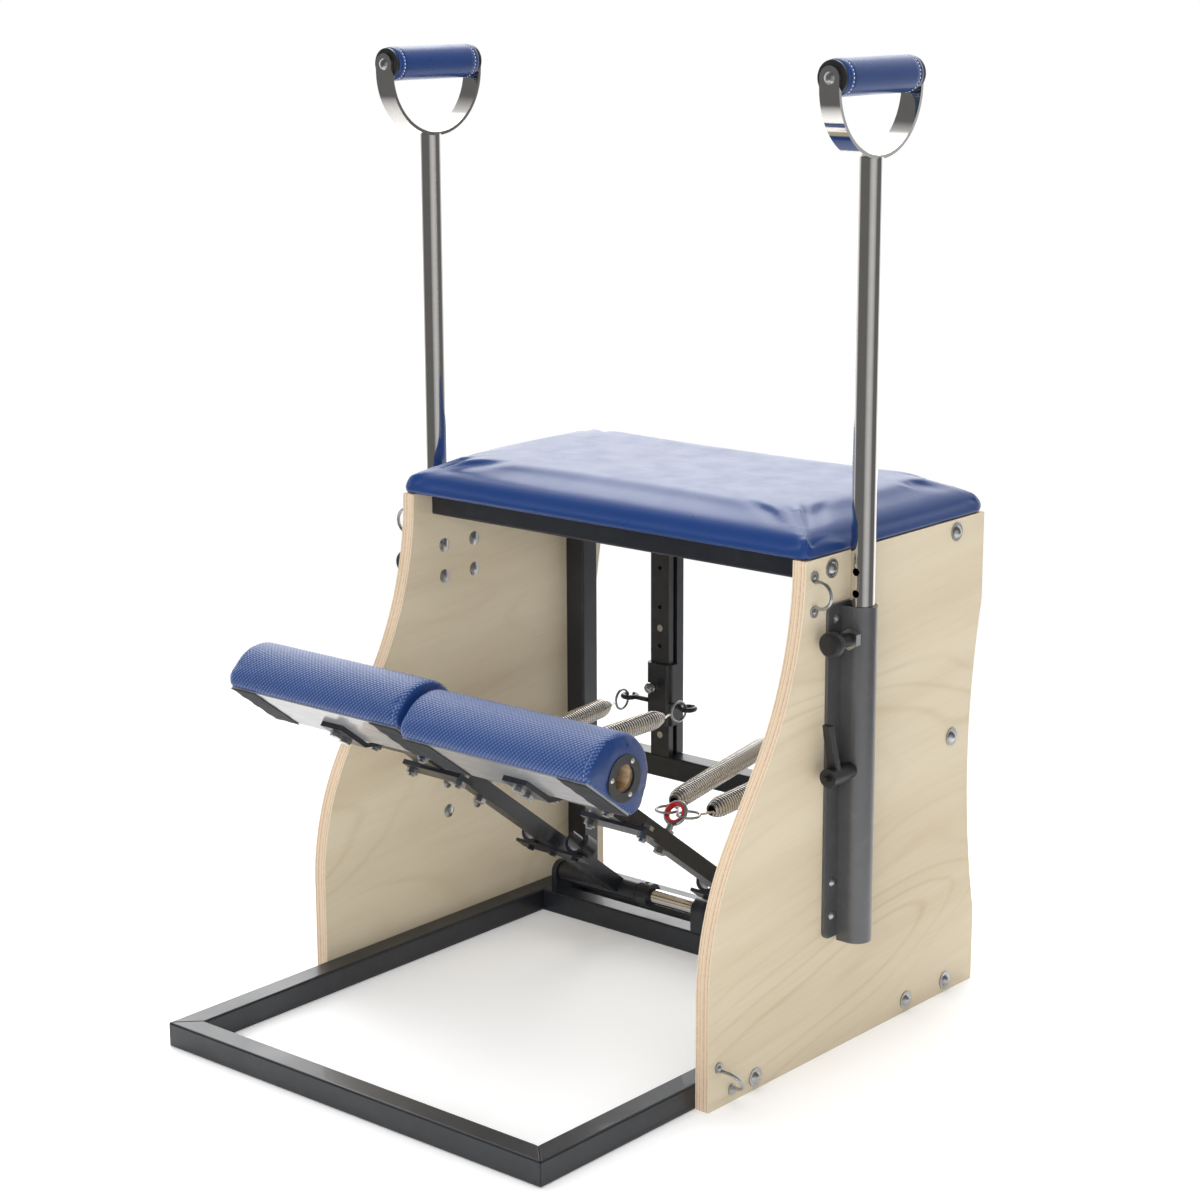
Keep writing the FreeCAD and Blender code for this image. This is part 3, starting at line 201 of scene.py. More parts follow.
def middle_of(name):
    """Middle of a CAD node's box."""
    low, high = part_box(name)
    return (low + high) / 2


# Sizes that the materials follow
PANEL_INNER = abs(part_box("right_panel")[0].x)
PANEL_OUTER = abs(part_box("right_panel")[1].x)
GRAIN_TILT = math.radians(5)
FIGURE_RINGS = 115.0
FIGURE_SHARPNESS = 7.0
PAINT_ROUGHNESS = (0.30, 0.42)
WEAVE_PITCH = 0.0052
WEAVE_FALLING_SHARE = 0.6
RING_SCREW_DOME = 0.0014
RING_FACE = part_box("right_pad_end_rings")[1].x - RING_SCREW_DOME
PIVOT = middle_of("pivot_shaft")
PEDAL_TILTS = {"left": math.radians(37.3), "right": math.radians(36.5)}
PAD_REACH = 0.606
PAD_WIDTH = 0.105
PAD_ROUND = PAD_WIDTH / 2
PAD_ROUND_HEIGHT = -0.0175
SOCKET_REACH = 0.602
SOCKET_HEIGHT = -0.0112
SOCKET_ROUND = 0.0155
SOCKET_BARE_EDGE = (1.35 * SOCKET_ROUND, 1.3 * SOCKET_ROUND)
HANDLE_Y = middle_of("right_handle_grip").y
SCREW_FROM_TUBE = 0.0785
FOOT_PLUG_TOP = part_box("right_handle_frame")[0].z
OUTWARD = "outward"
# Outward values over which the spring wire's painted shade gives way to its plating
COIL_SHADE_BLEND_FROM = 0.6
COIL_SHADE_BLEND_TO = 0.96


def pedal_point(side, x, reach, height):
    """A point of a pedal at rest: reach along the arm from the axle, height above the arm's line."""
    tilt = PEDAL_TILTS[side]
    y = PIVOT.y - reach * math.cos(tilt) + height * math.sin(tilt)
    z = PIVOT.z + reach * math.sin(tilt) + height * math.cos(tilt)
    return Vector((x, y, z))


def between_pedals(reach, height):
    return (pedal_point("left", 0, reach, height) + pedal_point("right", 0, reach, height)) / 2


PAD_MIDDLE = between_pedals(PAD_REACH, PAD_ROUND_HEIGHT)
SOCKET_MIDDLE = between_pedals(SOCKET_REACH, SOCKET_HEIGHT)


def wood_grain_group():
    """Cathedral grain along the panel's depth with fine fibres."""
    tree = new_group("wood_grain", {"Color": "Color", "Height": "Float"})
    turned = mapped(tree, object_place(tree), turn=(-GRAIN_TILT, 0, 0))
    figure = noise(tree, stretched(tree, turned, 0.24), scale=5.5, detail=1.2, roughness=0.4)
    waves = math_node(tree, "SINE", math_node(tree, "MULTIPLY", figure, FIGURE_RINGS))
    lines = math_node(tree, "POWER", map_range(tree, waves, -1.0, 1.0), FIGURE_SHARPNESS)
    clouds = noise(tree, stretched(tree, turned, 0.3), scale=6.0, detail=3.0, roughness=0.5)
    rings = math_node(tree, "MULTIPLY", lines, map_range(tree, clouds, 0.42, 0.66, 0.02, 0.38))
    bands = noise(tree, stretched(tree, turned, 0.08), scale=15.0, detail=3.0, roughness=0.5)
    fibres = noise(tree, stretched(tree, turned, 0.025), scale=330.0, detail=3.0, roughness=0.6)
    streaks = map_range(tree, fibres, 0.45, 0.75, 0.0, 0.16)
    drift = map_range(tree, bands, 0.32, 0.7, 0.0, 0.5)
    share = math_node(tree, "ADD", math_node(tree, "ADD", rings, streaks), drift)
    colour = mix_colour(tree, share, MAPLE_PALE, MAPLE_DARK)
    return group_outputs(tree, {"Color": colour, "Height": fibres})


def vinyl_group():
    """Fine embossed hide grain with a slow drift of tone."""
    tree = new_group("vinyl_grain", {"Tone": "Float", "Height": "Float", "Roughness": "Float"})
    place = object_place(tree)
    cells = node(tree, "ShaderNodeTexVoronoi", {"Vector": place, "Scale": 620.0}).outputs["Distance"]
    creases = noise(tree, place, scale=260.0, detail=3.0)
    clouds = noise(tree, place, scale=5.0, detail=3.0)
    wear = noise(tree, place, scale=26.0, detail=4.0)
    tone = map_range(tree, clouds, 0.3, 0.7, 0.0, 0.6)
    height = math_node(tree, "ADD", cells, math_node(tree, "MULTIPLY", creases, 0.8))
    roughness = map_range(tree, wear, 0.3, 0.7, 0.27, 0.36)
    return group_outputs(tree, {"Tone": tone, "Height": height, "Roughness": roughness})


def paint_group():
    """Orange peel of a sprayed coat, and faint rub marks."""
    tree = new_group("paint_coat", {"Rub": "Float", "Height": "Float", "Roughness": "Float"})
    place = object_place(tree)
    peel = noise(tree, place, scale=900.0, detail=2.0)
    marks = noise(tree, place, scale=38.0, detail=6.0, roughness=0.7)
    clouds = noise(tree, place, scale=14.0, detail=4.0)
    rub = map_range(tree, marks, 0.5, 0.78)
    roughness = map_range(tree, clouds, 0.3, 0.7, *PAINT_ROUGHNESS)
    return group_outputs(tree, {"Rub": rub, "Height": peel, "Roughness": roughness})


def metal_group():
    """Smudges and fine drawing marks of bare or plated metal."""
    tree = new_group("metal_marks", {"Tone": "Float", "Height": "Float", "Smudge": "Float"})
    place = object_place(tree)
    drawn = noise(tree, mapped(tree, place, scale=(1.0, 1.0, 0.06)), scale=900.0, detail=2.0)
    touched = noise(tree, place, scale=24.0, detail=5.0, roughness=0.65)
    clouds = noise(tree, place, scale=60.0, detail=3.0)
    smudge = map_range(tree, touched, 0.35, 0.7)
    tone = map_range(tree, clouds, 0.3, 0.7, 0.0, 0.7)
    return group_outputs(tree, {"Tone": tone, "Height": drawn, "Smudge": smudge})


WOOD_GRAIN = wood_grain_group()
VINYL_GRAIN = vinyl_group()
PAINT_COAT = paint_group()
METAL_MARKS = metal_group()


def birch_ply():
    """Maple-faced plywood: grain on the faces, veneer layers on the edges."""
    made, tree, shader = new_material("birch_ply", Specular_IOR_Level=0.32)
    place = object_place(tree)
    grain = use_group(tree, WOOD_GRAIN)
    across = math_node(tree, "ABSOLUTE", axis_parts(tree, place)[0])
    depth = map_range(tree, across, PANEL_INNER, PANEL_OUTER)
    speck = noise(tree, place, scale=240.0, detail=4.0, roughness=0.7)
    layers = ramp(tree, depth, [
        (0.00, MAPLE_PALE), (0.07, PLY_CREAM), (0.10, PLY_LINE), (0.13, PLY_PINK),
        (0.30, PLY_CREAM), (0.34, PLY_LINE), (0.38, PLY_CREAM), (0.62, PLY_PINK),
        (0.66, PLY_LINE), (0.70, PLY_CREAM), (0.87, PLY_PINK), (0.90, PLY_LINE),
        (0.93, PLY_CREAM), (1.00, MAPLE_PALE),
    ])
    dusted = mix_colour(tree, map_range(tree, speck, 0.4, 0.75, 0.15, 0.75), layers, PLY_CREAM)
    to_face = math_node(tree, "MINIMUM", depth, math_node(tree, "SUBTRACT", 1.0, depth))
    on_edge = map_range(tree, to_face, 0.015, 0.05)
    colour = mix_colour(tree, on_edge, grain["Color"], dusted)
    tree.links.new(colour, shader.inputs["Base Color"])
    tree.links.new(map_range(tree, on_edge, 0.0, 1.0, 0.46, 0.72), shader.inputs["Roughness"])
    link_bump(tree, shader, grain["Height"], distance=0.00012, strength=0.6)
    return made


def blue_vinyl(name="blue_vinyl", light=BLUE, dark=BLUE_DEEP):
    """Smooth upholstery vinyl with a fine hide grain."""
    made, tree, shader = new_material(name, Specular_IOR_Level=0.5)
    grain = use_group(tree, VINYL_GRAIN)
    tree.links.new(mix_colour(tree, grain["Tone"], light, dark), shader.inputs["Base Color"])
    tree.links.new(grain["Roughness"], shader.inputs["Roughness"])
    link_bump(tree, shader, grain["Height"], distance=0.00016, strength=0.35)
    return made


def woven_vinyl():
    """Blue vinyl embossed with a fine diagonal weave that follows the pad's round."""
    made, tree, shader = new_material("woven_vinyl", Specular_IOR_Level=0.5)
    grain = use_group(tree, VINYL_GRAIN)
    x, y, z = axis_parts(tree, object_place(tree))[:3]
    from_y = math_node(tree, "SUBTRACT", y, PAD_MIDDLE.y)
    from_z = math_node(tree, "SUBTRACT", z, PAD_MIDDLE.z)
    around = math_node(tree, "MULTIPLY", math_node(tree, "ARCTAN2", from_z, from_y), PAD_ROUND)
    turns = 2 * math.pi / WEAVE_PITCH
    up_way = math_node(tree, "ADD", x, around)
    down_way = math_node(tree, "SUBTRACT", x, around)
    rising = math_node(tree, "SINE", math_node(tree, "MULTIPLY", up_way, turns))
    falling = math_node(tree, "SINE", math_node(tree, "MULTIPLY", down_way, turns))
    weave = math_node(tree, "ADD", rising, math_node(tree, "MULTIPLY", falling, WEAVE_FALLING_SHARE))
    toned = mix_colour(tree, grain["Tone"], BLUE, BLUE_DEEP)
    # Raised dots of the weave take the lighter colour: partly its own specks, partly painted highlight
    specked_and_highlighted = mix_colour(tree, map_range(tree, weave, -0.1, 1.5), toned, BLUE_SPECK_AND_HIGHLIGHT)
    tree.links.new(specked_and_highlighted, shader.inputs["Base Color"])
    tree.links.new(map_range(tree, weave, -1.6, 1.6, 0.5, 0.3), shader.inputs["Roughness"])
    link_bump(tree, shader, weave, distance=0.00022, strength=0.8)
    return made


def painted(name, fresh, worn, coat=0.0, metallic=0.0):
    """Sprayed steel, rubbed a little lighter here and there."""
    made, tree, shader = new_material(name, Coat_Weight=coat, Metallic=metallic)
    marks = use_group(tree, PAINT_COAT)
    tree.links.new(mix_colour(tree, marks["Rub"], fresh, worn), shader.inputs["Base Color"])
    tree.links.new(marks["Roughness"], shader.inputs["Roughness"])
    link_bump(tree, shader, marks["Height"], distance=0.00008, strength=0.5)
    return made


def bare_metal(name, bright, dull, smooth, rough):
    """Plated or polished metal with smudges."""
    made, tree, shader = new_material(name, Metallic=1.0)
    marks = use_group(tree, METAL_MARKS)
    tree.links.new(mix_colour(tree, marks["Tone"], bright, dull), shader.inputs["Base Color"])
    tree.links.new(map_range(tree, marks["Smudge"], 0.0, 1.0, smooth, rough), shader.inputs["Roughness"])
    link_bump(tree, shader, marks["Height"], distance=0.00002, strength=0.4)
    return made


def moulded(name, light, dark, smooth, rough):
    """Moulded plastic, thread or lining with a fine even texture."""
    made, tree, shader = new_material(name)
    marks = use_group(tree, PAINT_COAT)
    roughness = map_range(tree, marks["Roughness"], *PAINT_ROUGHNESS, smooth, rough)
    tree.links.new(mix_colour(tree, marks["Rub"], light, dark), shader.inputs["Base Color"])
    tree.links.new(roughness, shader.inputs["Roughness"])
    link_bump(tree, shader, marks["Height"], distance=0.00006, strength=0.5)
    return made


def pale_board():
    """Laminated board, grey on its faces and bare wood inside the dowel sockets."""
    made, tree, shader = new_material("pale_board", Coat_Weight=0.8, Coat_Roughness=0.12)
    place = object_place(tree)
    along = mapped(tree, place, scale=(0.2, 1.0, 1.0))
    flecks = noise(tree, along, scale=160.0, detail=4.0, roughness=0.65)
    faced = mix_colour(tree, map_range(tree, flecks, 0.4, 0.75), LAMINATE, LAMINATE_DARK)
    _, y, z = axis_parts(tree, place)[:3]
    from_y = math_node(tree, "SUBTRACT", y, SOCKET_MIDDLE.y)
    from_z = math_node(tree, "SUBTRACT", z, SOCKET_MIDDLE.z)
    squares = [math_node(tree, "POWER", off, 2.0) for off in (from_y, from_z)]
    from_socket = math_node(tree, "SQRT", math_node(tree, "ADD", *squares))
    in_socket = map_range(tree, from_socket, *SOCKET_BARE_EDGE)
    wood = mix_colour(tree, map_range(tree, flecks, 0.35, 0.7), BARE_WOOD, PLY_CREAM)
    tree.links.new(mix_colour(tree, in_socket, faced, wood), shader.inputs["Base Color"])
    tree.links.new(map_range(tree, flecks, 0.3, 0.7, 0.45, 0.62), shader.inputs["Roughness"])
    link_bump(tree, shader, flecks, distance=0.0001, strength=0.4)
    return made


def handle_fittings():
    """Black washers, bright screws and a pale foot plug, told apart by where they sit."""
    made, tree, shader = new_material("handle_fittings")
    marks = use_group(tree, METAL_MARKS)
    _, y, z = axis_parts(tree, object_place(tree))[:3]
    from_tube = math_node(tree, "ABSOLUTE", math_node(tree, "SUBTRACT", y, HANDLE_Y))
    is_screw = math_node(tree, "GREATER_THAN", from_tube, SCREW_FROM_TUBE)
    is_plug = math_node(tree, "LESS_THAN", z, FOOT_PLUG_TOP)
    washer = mix_colour(tree, marks["Tone"], BLACK_PLASTIC, BLACK_WORN)
    screw = mix_colour(tree, marks["Tone"], ZINC, ZINC_DARK)
    plug = mix_colour(tree, marks["Tone"], PLUG_WHITE, BOARD_GREY)
    colour = mix_colour(tree, is_plug, mix_colour(tree, is_screw, washer, screw), plug)
    tree.links.new(colour, shader.inputs["Base Color"])
    tree.links.new(is_screw, shader.inputs["Metallic"])
    tree.links.new(map_range(tree, marks["Smudge"], 0.0, 1.0, 0.24, 0.42), shader.inputs["Roughness"])
    link_bump(tree, shader, marks["Height"], distance=0.00003, strength=0.4)
    return made


def end_rings():
    """Black rings whose domed screws, proud of the outer face, are bright."""
    made, tree, shader = new_material("end_rings")
    marks = use_group(tree, METAL_MARKS)
    across = math_node(tree, "ABSOLUTE", axis_parts(tree, object_place(tree))[0])
    is_screw = math_node(tree, "GREATER_THAN", across, RING_FACE)
    ring = mix_colour(tree, marks["Tone"], BLACK_PLASTIC, BLACK_WORN)
    screw = mix_colour(tree, marks["Tone"], PLUG_WHITE, ZINC)
    tree.links.new(mix_colour(tree, is_screw, ring, screw), shader.inputs["Base Color"])
    tree.links.new(is_screw, shader.inputs["Metallic"])
    tree.links.new(map_range(tree, marks["Smudge"], 0.0, 1.0, 0.32, 0.46), shader.inputs["Roughness"])
    link_bump(tree, shader, marks["Height"], distance=0.00003, strength=0.4)
    return made


def coil_steel():
    """Plated spring wire, with painted shade where it turns in between its coils."""
    made, tree, shader = new_material("coil_steel", Metallic=1.0)
    marks = use_group(tree, METAL_MARKS)
    outward = node(tree, "ShaderNodeAttribute", attribute_name=OUTWARD).outputs["Fac"]
    plated = mix_colour(tree, marks["Tone"], NICKEL, NICKEL_DARK)
    bright = map_range(tree, outward, COIL_SHADE_BLEND_FROM, COIL_SHADE_BLEND_TO)
    # Painted shade where the turns meet, giving way to plating on the wire's outer face
    tree.links.new(mix_colour(tree, bright, COIL_PAINTED_SHADE, plated), shader.inputs["Base Color"])
    tree.links.new(map_range(tree, marks["Smudge"], 0.0, 1.0, 0.2, 0.26), shader.inputs["Roughness"])
    return made


# Finishes by the record's slots
FINISHES = {
    "birch_ply": birch_ply(),
    "pale_board": pale_board(),
    "blue_vinyl": blue_vinyl(),
    "graphite_paint": painted("graphite_paint", GRAPHITE, GRAPHITE_LIGHT, coat=0.3, metallic=0.5),
    "chrome_tube": bare_metal("chrome_tube", CHROME, CHROME_DULL, 0.06, 0.09),
    "black_plastic": moulded("black_plastic", BLACK_PLASTIC, BLACK_WORN, 0.32, 0.5),
    "red_plastic": moulded("red_plastic", RED, RED_DARK, 0.16, 0.26),
    "spring_steel": bare_metal("spring_steel", NICKEL, NICKEL_DARK, 0.2, 0.34),
    "zinc_fastener": bare_metal("zinc_fastener", ZINC, ZINC_DARK, 0.24, 0.42),
    "black_powder_coat": painted("black_powder_coat", BLACK_PAINT, BLACK_WORN, coat=0.12),
}
WEAVE = woven_vinyl()
CAP_VINYL = blue_vinyl("cap_vinyl", BLUE_DEEP, BLUE)
FITTINGS = handle_fittings()
STITCH = moulded("stitch_thread", THREAD, BOARD_GREY, 0.6, 0.8)
SEAM_THREAD = moulded("seam_thread", SEAM_BLUE, BLUE_SPECK_AND_HIGHLIGHT, 0.5, 0.7)
FABRIC = moulded("fabric_strip", FABRIC_GREY, BLACK_WORN, 0.7, 0.9)
COIL = coil_steel()
RINGS = end_rings()
OWN_FINISHES = {
    "left_handle_fittings": FITTINGS,
    "right_handle_fittings": FITTINGS,
    "left_pad_end_rings": RINGS,
    "right_pad_end_rings": RINGS,
}

# Edges softened on the nodes of bent or cut steel
SOFT_EDGES = {"bar": 0.0022, "upright": 0.0022, "seat_rail": 0.0018}
SOFT_EDGE_SEGMENTS = 3
SOFT_EDGE_ANGLE = math.radians(40)
MERGE_GAP = 0.00002


def dress_node(name, slot):
    """Finish of a CAD node, with its sharp edges eased where they are seen."""
    item = nodes[name]
    item.data.materials.clear()
    item.data.materials.append(OWN_FINISHES.get(name, FINISHES[slot]))
    for ending, width in SOFT_EDGES.items():
        if name.endswith(ending):
            weld = item.modifiers.new("weld", "WELD")
            weld.merge_threshold = MERGE_GAP
            bevel = item.modifiers.new("ease", "BEVEL")
            bevel.width = width
            bevel.segments = SOFT_EDGE_SEGMENTS
            bevel.limit_method = "ANGLE"
            bevel.angle_limit = SOFT_EDGE_ANGLE
            even = item.modifiers.new("even_normals", "WEIGHTED_NORMAL")
            even.keep_sharp = True


def dress_nodes():
    for entry in frame["record"]["subparts"]:
        dress_node(entry["node"], entry["material_slot"])


# Building blocks of new pieces
DOUBLES_GAP = 0.000001
CAPSULE_SIDES = 6
CAPSULE_ROUND_SHARE = 0.7


def add_piece(name, mesh, finish, body=None):
    """An object at the origin with its place in its mesh, riding on a body."""
    piece = bpy.data.objects.new(name, mesh)
    bpy.context.scene.collection.objects.link(piece)
    for material in finish if isinstance(finish, list) else [finish]:
        mesh.materials.append(material)
    if body is not None:
        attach(piece, body)
    return piece


def mesh_from(bm, name):
    """A smooth-shaded mesh from a bmesh, which is used up."""
    bmesh.ops.recalc_face_normals(bm, faces=bm.faces)
    for face in bm.faces:
        face.smooth = True
    mesh = bpy.data.meshes.new(name)
    bm.to_mesh(mesh)
    bm.free()
    return mesh


def basis(centre, first, second):
    """Matrix at a centre whose x and y run along two directions."""
    x = first.normalized()
    y = second.normalized()
    turn = Matrix((x, y, x.cross(y))).transposed().to_4x4()
    return Matrix.Translation(centre) @ turn


def add_ring(bm, centre, axis, radius, wire, steps=40, sides=12):
    """A closed wire ring about an axis."""
    spoke = axis.orthogonal().normalized()
    start = centre + spoke * radius
    made = bmesh.ops.create_circle(
        bm, segments=sides, radius=wire / 2, matrix=basis(start, spoke, axis)
    )
    geom = made["verts"] + list({edge for vert in made["verts"] for edge in vert.link_edges})
    bmesh.ops.spin(
        bm, geom=geom, cent=centre, axis=axis, angle=2 * math.pi, steps=steps, use_merge=True
    )


def add_lathe(bm, centre, axis, profile, steps):
    """A turned form: profile points are (along the axis, from the axis)."""
    spoke = axis.orthogonal().normalized()
    places = [centre + axis * along + spoke * out for along, out in profile]
    verts = [bm.verts.new(place) for place in places]
    edges = [bm.edges.new(pair) for pair in zip(verts, verts[1:])]
    bmesh.ops.spin(
        bm, geom=verts + edges, cent=centre, axis=axis, angle=2 * math.pi, steps=steps, use_merge=True
    )
    bmesh.ops.remove_doubles(bm, verts=bm.verts, dist=DOUBLES_GAP)


def add_capsule(bm, start, end, radius):
    """A short round-ended thread."""
    axis = (end - start).normalized()
    length = (end - start).length
    half = [(0, 0), (radius * (1 - CAPSULE_ROUND_SHARE), radius * CAPSULE_ROUND_SHARE), (radius, radius)]
    profile = half + [(length - along, out) for along, out in reversed(half)]
    add_lathe(bm, start, axis, profile, CAPSULE_SIDES)


def tube_mesh(name, points, radius):
    """A round wire along points."""
    curve = bpy.data.curves.new(name, "CURVE")
    curve.dimensions = "3D"
    curve.bevel_depth = radius
    curve.bevel_resolution = 4
    curve.use_fill_caps = True
    line = curve.splines.new("POLY")
    line.points.add(len(points) - 1)
    for point, place in zip(line.points, points):
        point.co = (*place, 1)
    holder = bpy.data.objects.new(name, curve)
    bpy.context.scene.collection.objects.link(holder)
    shape = bpy.context.evaluated_depsgraph_get()
    mesh = bpy.data.meshes.new_from_object(holder.evaluated_get(shape))
    bpy.data.objects.remove(holder)
    return mesh


# Springs
SPRING_DIAMETER = 0.025
SPRING_WIRE = 0.003
SPRING_TURNS = 56
SPRING_COIL_WIRE = 0.0040
SPRING_TAPER = 0.020
SPRING_TIP_SHARE = 0.45
COIL_STEPS_PER_TURN = 24
COIL_WIRE_SIDES = 10
LINK_RADIUS = 0.013
LINK_WIRE = 0.0032
LINK_EYE_GAP = 0.001
LINK_SEAT_GAP = 0.0001
LINK_GAP = 0.00035
LINK_SPLAY = math.radians(37)
ARM_X = middle_of("right_spring_eyebolt").x
EYE_REACH = 0.319
EYE_HEIGHT = 0.036
EYE_RADIUS = 0.013
EYE_WALL = 0.0045
POST_X = middle_of("right_spring_post").x
HOOK_OFFSET = 0.049
HOOK_PLACE = Vector((0, 0.3159, 0.295))
HOOK_RADIUS = 0.009
HOOK_ROD = 0.0064
UP = Vector((0, 0, 1))


def spring_ends(side, sign, away):
    """Places and directions of a spring's links: away is 1 for the outer spring and -1 for the inner."""
    eye = pedal_point(side, sign * ARM_X, EYE_REACH, EYE_HEIGHT)
    arm_up = pedal_point(side, 0, 0, 1) - pedal_point(side, 0, 0, 0)
    way = Vector((sign * away * math.sin(LINK_SPLAY), math.cos(LINK_SPLAY), 0))
    tilt_share = (way - arm_up * way.dot(arm_up)).length
    reach = LINK_RADIUS - (LINK_WIRE / 2 + EYE_WALL) / tilt_share - LINK_EYE_GAP
    front_link = eye + Vector((sign * away * EYE_RADIUS, 0, 0)) + way * reach
    tip = LINK_RADIUS + LINK_WIRE / 2 + LINK_SEAT_GAP
    front = front_link + way * tip
    hook = HOOK_PLACE + Vector((sign * (POST_X + away * HOOK_OFFSET), 0, 0))
    pull = (front - hook).normalized()
    bite = HOOK_RADIUS - HOOK_ROD / 2 - LINK_WIRE / 2 - LINK_GAP
    rear_link = hook + pull * (bite + LINK_RADIUS)
    rear = rear_link + pull * tip
    return front_link, front, way, rear_link, rear, pull


def half_coil(bm, start, end, spoke):
    """Half a close-wound spring, drawn in to its tip at the start."""
    axis = (end - start).normalized()
    radius = (SPRING_DIAMETER - SPRING_COIL_WIRE) / 2
    steps = COIL_STEPS_PER_TURN * SPRING_TURNS // 2
    wire_place = basis(start + spoke * radius, spoke, axis)
    ring = bmesh.ops.create_circle(
        bm, segments=COIL_WIRE_SIDES, radius=SPRING_COIL_WIRE / 2, matrix=wire_place
    )["verts"]
    edges = list({edge for vert in ring for edge in vert.link_edges})
    bmesh.ops.spin(
        bm, geom=ring + edges, cent=start, axis=axis, dvec=(end - start) / steps,
        angle=math.pi * SPRING_TURNS, steps=steps,
    )
    # Outward value of each vertex, which places the painted shade between the turns
    outward_layer = bm.verts.layers.float.new(OUTWARD)
    for vert in bm.verts:
        along = (vert.co - start).dot(axis)
        middle = start + axis * along
        depth = (vert.co - middle).length - radius
        vert[outward_layer] = 0.5 + depth / SPRING_COIL_WIRE
        grown_share = min(max(along / SPRING_TAPER, 0), 1)
        eased_share = grown_share * (2 - grown_share)
        drawn_in = radius * (1 - SPRING_TIP_SHARE) * (1 - eased_share)
        outward = (vert.co - middle).normalized()
        vert.co -= outward * drawn_in


def add_spring(side, sign, place, away):
    """One spring: two halves of coil, so that each end follows what it hooks on, and two link rings."""
    node_name = side + "_spring_" + place
    front_link, front, way, rear_link, rear, pull = spring_ends(side, sign, away)
    first = front + way * SPRING_WIRE
    last = rear + pull * SPRING_WIRE
    axis = (last - first).normalized()
    coil_front = first + axis * SPRING_DIAMETER / 2
    coil_rear = last - axis * SPRING_DIAMETER / 2
    middle = (coil_front + coil_rear) / 2
    spoke = axis.cross(UP).normalized()
    tip = spoke * (SPRING_DIAMETER - SPRING_WIRE) / 2 * SPRING_TIP_SHARE
    halves = (
        ("_front", coil_front, front, first, front_link, UP, side + "_pedal"),
        ("_rear", coil_rear, rear, last, rear_link, pull.cross(UP), side + "_carriage"),
    )
    for ending, start, seat, lead, link, link_axis, body in halves:
        name = node_name + ending
        bm = bmesh.new()
        half_coil(bm, start, middle, spoke)
        bmesh.ops.remove_doubles(bm, verts=bm.verts, dist=DOUBLES_GAP)
        coil = add_piece(name, mesh_from(bm, name), COIL)
        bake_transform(coil)
        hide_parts(node_name)
        bm = bmesh.new()
        add_ring(bm, link, link_axis, LINK_RADIUS, LINK_WIRE)
        ring = mesh_from(bm, name + "_link")
        add_piece(name + "_link", ring, FINISHES["zinc_fastener"], body)
        lead_points = [seat, lead, lead.lerp(start + tip, 0.5), start + tip]
        wire = tube_mesh(name + "_lead", lead_points, SPRING_WIRE / 2)
        add_piece(name + "_lead", wire, FINISHES["spring_steel"], body)


def add_springs():
    for side, sign in SIDES.items():
        for place, away in (("inner", -1), ("outer", 1)):
            add_spring(side, sign, place, away)


# Upholstery
SIM_FRAMES = 20
SIM_PRESSURE = 4.0
STITCH_RADIUS = 0.0005


def applied(piece):
    """Work the piece's modifiers into its mesh."""
    shape = bpy.context.evaluated_depsgraph_get()
    mesh = bpy.data.meshes.new_from_object(piece.evaluated_get(shape))
    old = piece.data
    piece.modifiers.clear()
    piece.data = mesh
    bpy.data.meshes.remove(old)


def remeshed(piece, voxel):
    """Give the piece an even skin of small faces."""
    remesh = piece.modifiers.new("remesh", "REMESH")
    remesh.mode = "VOXEL"
    remesh.voxel_size = voxel
    applied(piece)


def inflate(piece, most, is_held):
    """Blow the cover up a little as cloth over foam; held vertices stay and none moves further than most."""
    rest = [vert.co.copy() for vert in piece.data.vertices]
    held = piece.vertex_groups.new(name="held")
    held.add([index for index, place in enumerate(rest) if is_held(place)], 1.0, "ADD")
    cloth = piece.modifiers.new("cloth", "CLOTH")
    cloth.settings.use_pressure = True
    cloth.settings.uniform_pressure_force = SIM_PRESSURE
    cloth.settings.effector_weights.gravity = 0.0
    cloth.settings.vertex_group_mass = held.name
    scene = bpy.context.scene
    for step in range(1, SIM_FRAMES + 1):
        scene.frame_set(step)
    applied(piece)
    scene.frame_set(1)
    for vert, place in zip(piece.data.vertices, rest):
        move = vert.co - place
        if move.length > most:
            vert.co = place + move.normalized() * most


def finish_soft(piece, body):
    """Smooth faces, one subdivision, and the body that it rides on."""
    for face in piece.data.polygons:
        face.use_smooth = True
    round_off = piece.modifiers.new("round", "SUBSURF")
    round_off.levels = 1
    round_off.render_levels = 1
    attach(piece, body)


# Seat cushion
SEAT_VOXEL = 0.005
SEAT_SMOOTHING = 5
SEAT_SHRINK = 0.0015
SEAT_SWELL = 0.006


def add_seat():
    """Cushion with its crown, its waterfall edge and soft corners."""
    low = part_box("seat_cushion")[0]
    bm = bmesh.new()
    bm.from_mesh(nodes["seat_cushion"].data)
    bmesh.ops.remove_doubles(bm, verts=bm.verts, dist=MERGE_GAP)
    seat = add_piece("seat_cover", mesh_from(bm, "seat_cover"), FINISHES["blue_vinyl"])
    remeshed(seat, SEAT_VOXEL)
    smooth = seat.modifiers.new("smooth", "SMOOTH")
    smooth.iterations = SEAT_SMOOTHING
    applied(seat)
    for vert in seat.data.vertices:
        if vert.co.z > low.z + SEAT_VOXEL:
            vert.co -= vert.normal * SEAT_SHRINK
    inflate(seat, SEAT_SWELL, lambda place: place.z < low.z + 2 * SEAT_VOXEL)
    for vert in seat.data.vertices:
        vert.co.z = max(vert.co.z, low.z)
    finish_soft(seat, "chair_frame")
    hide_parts("seat_cushion")


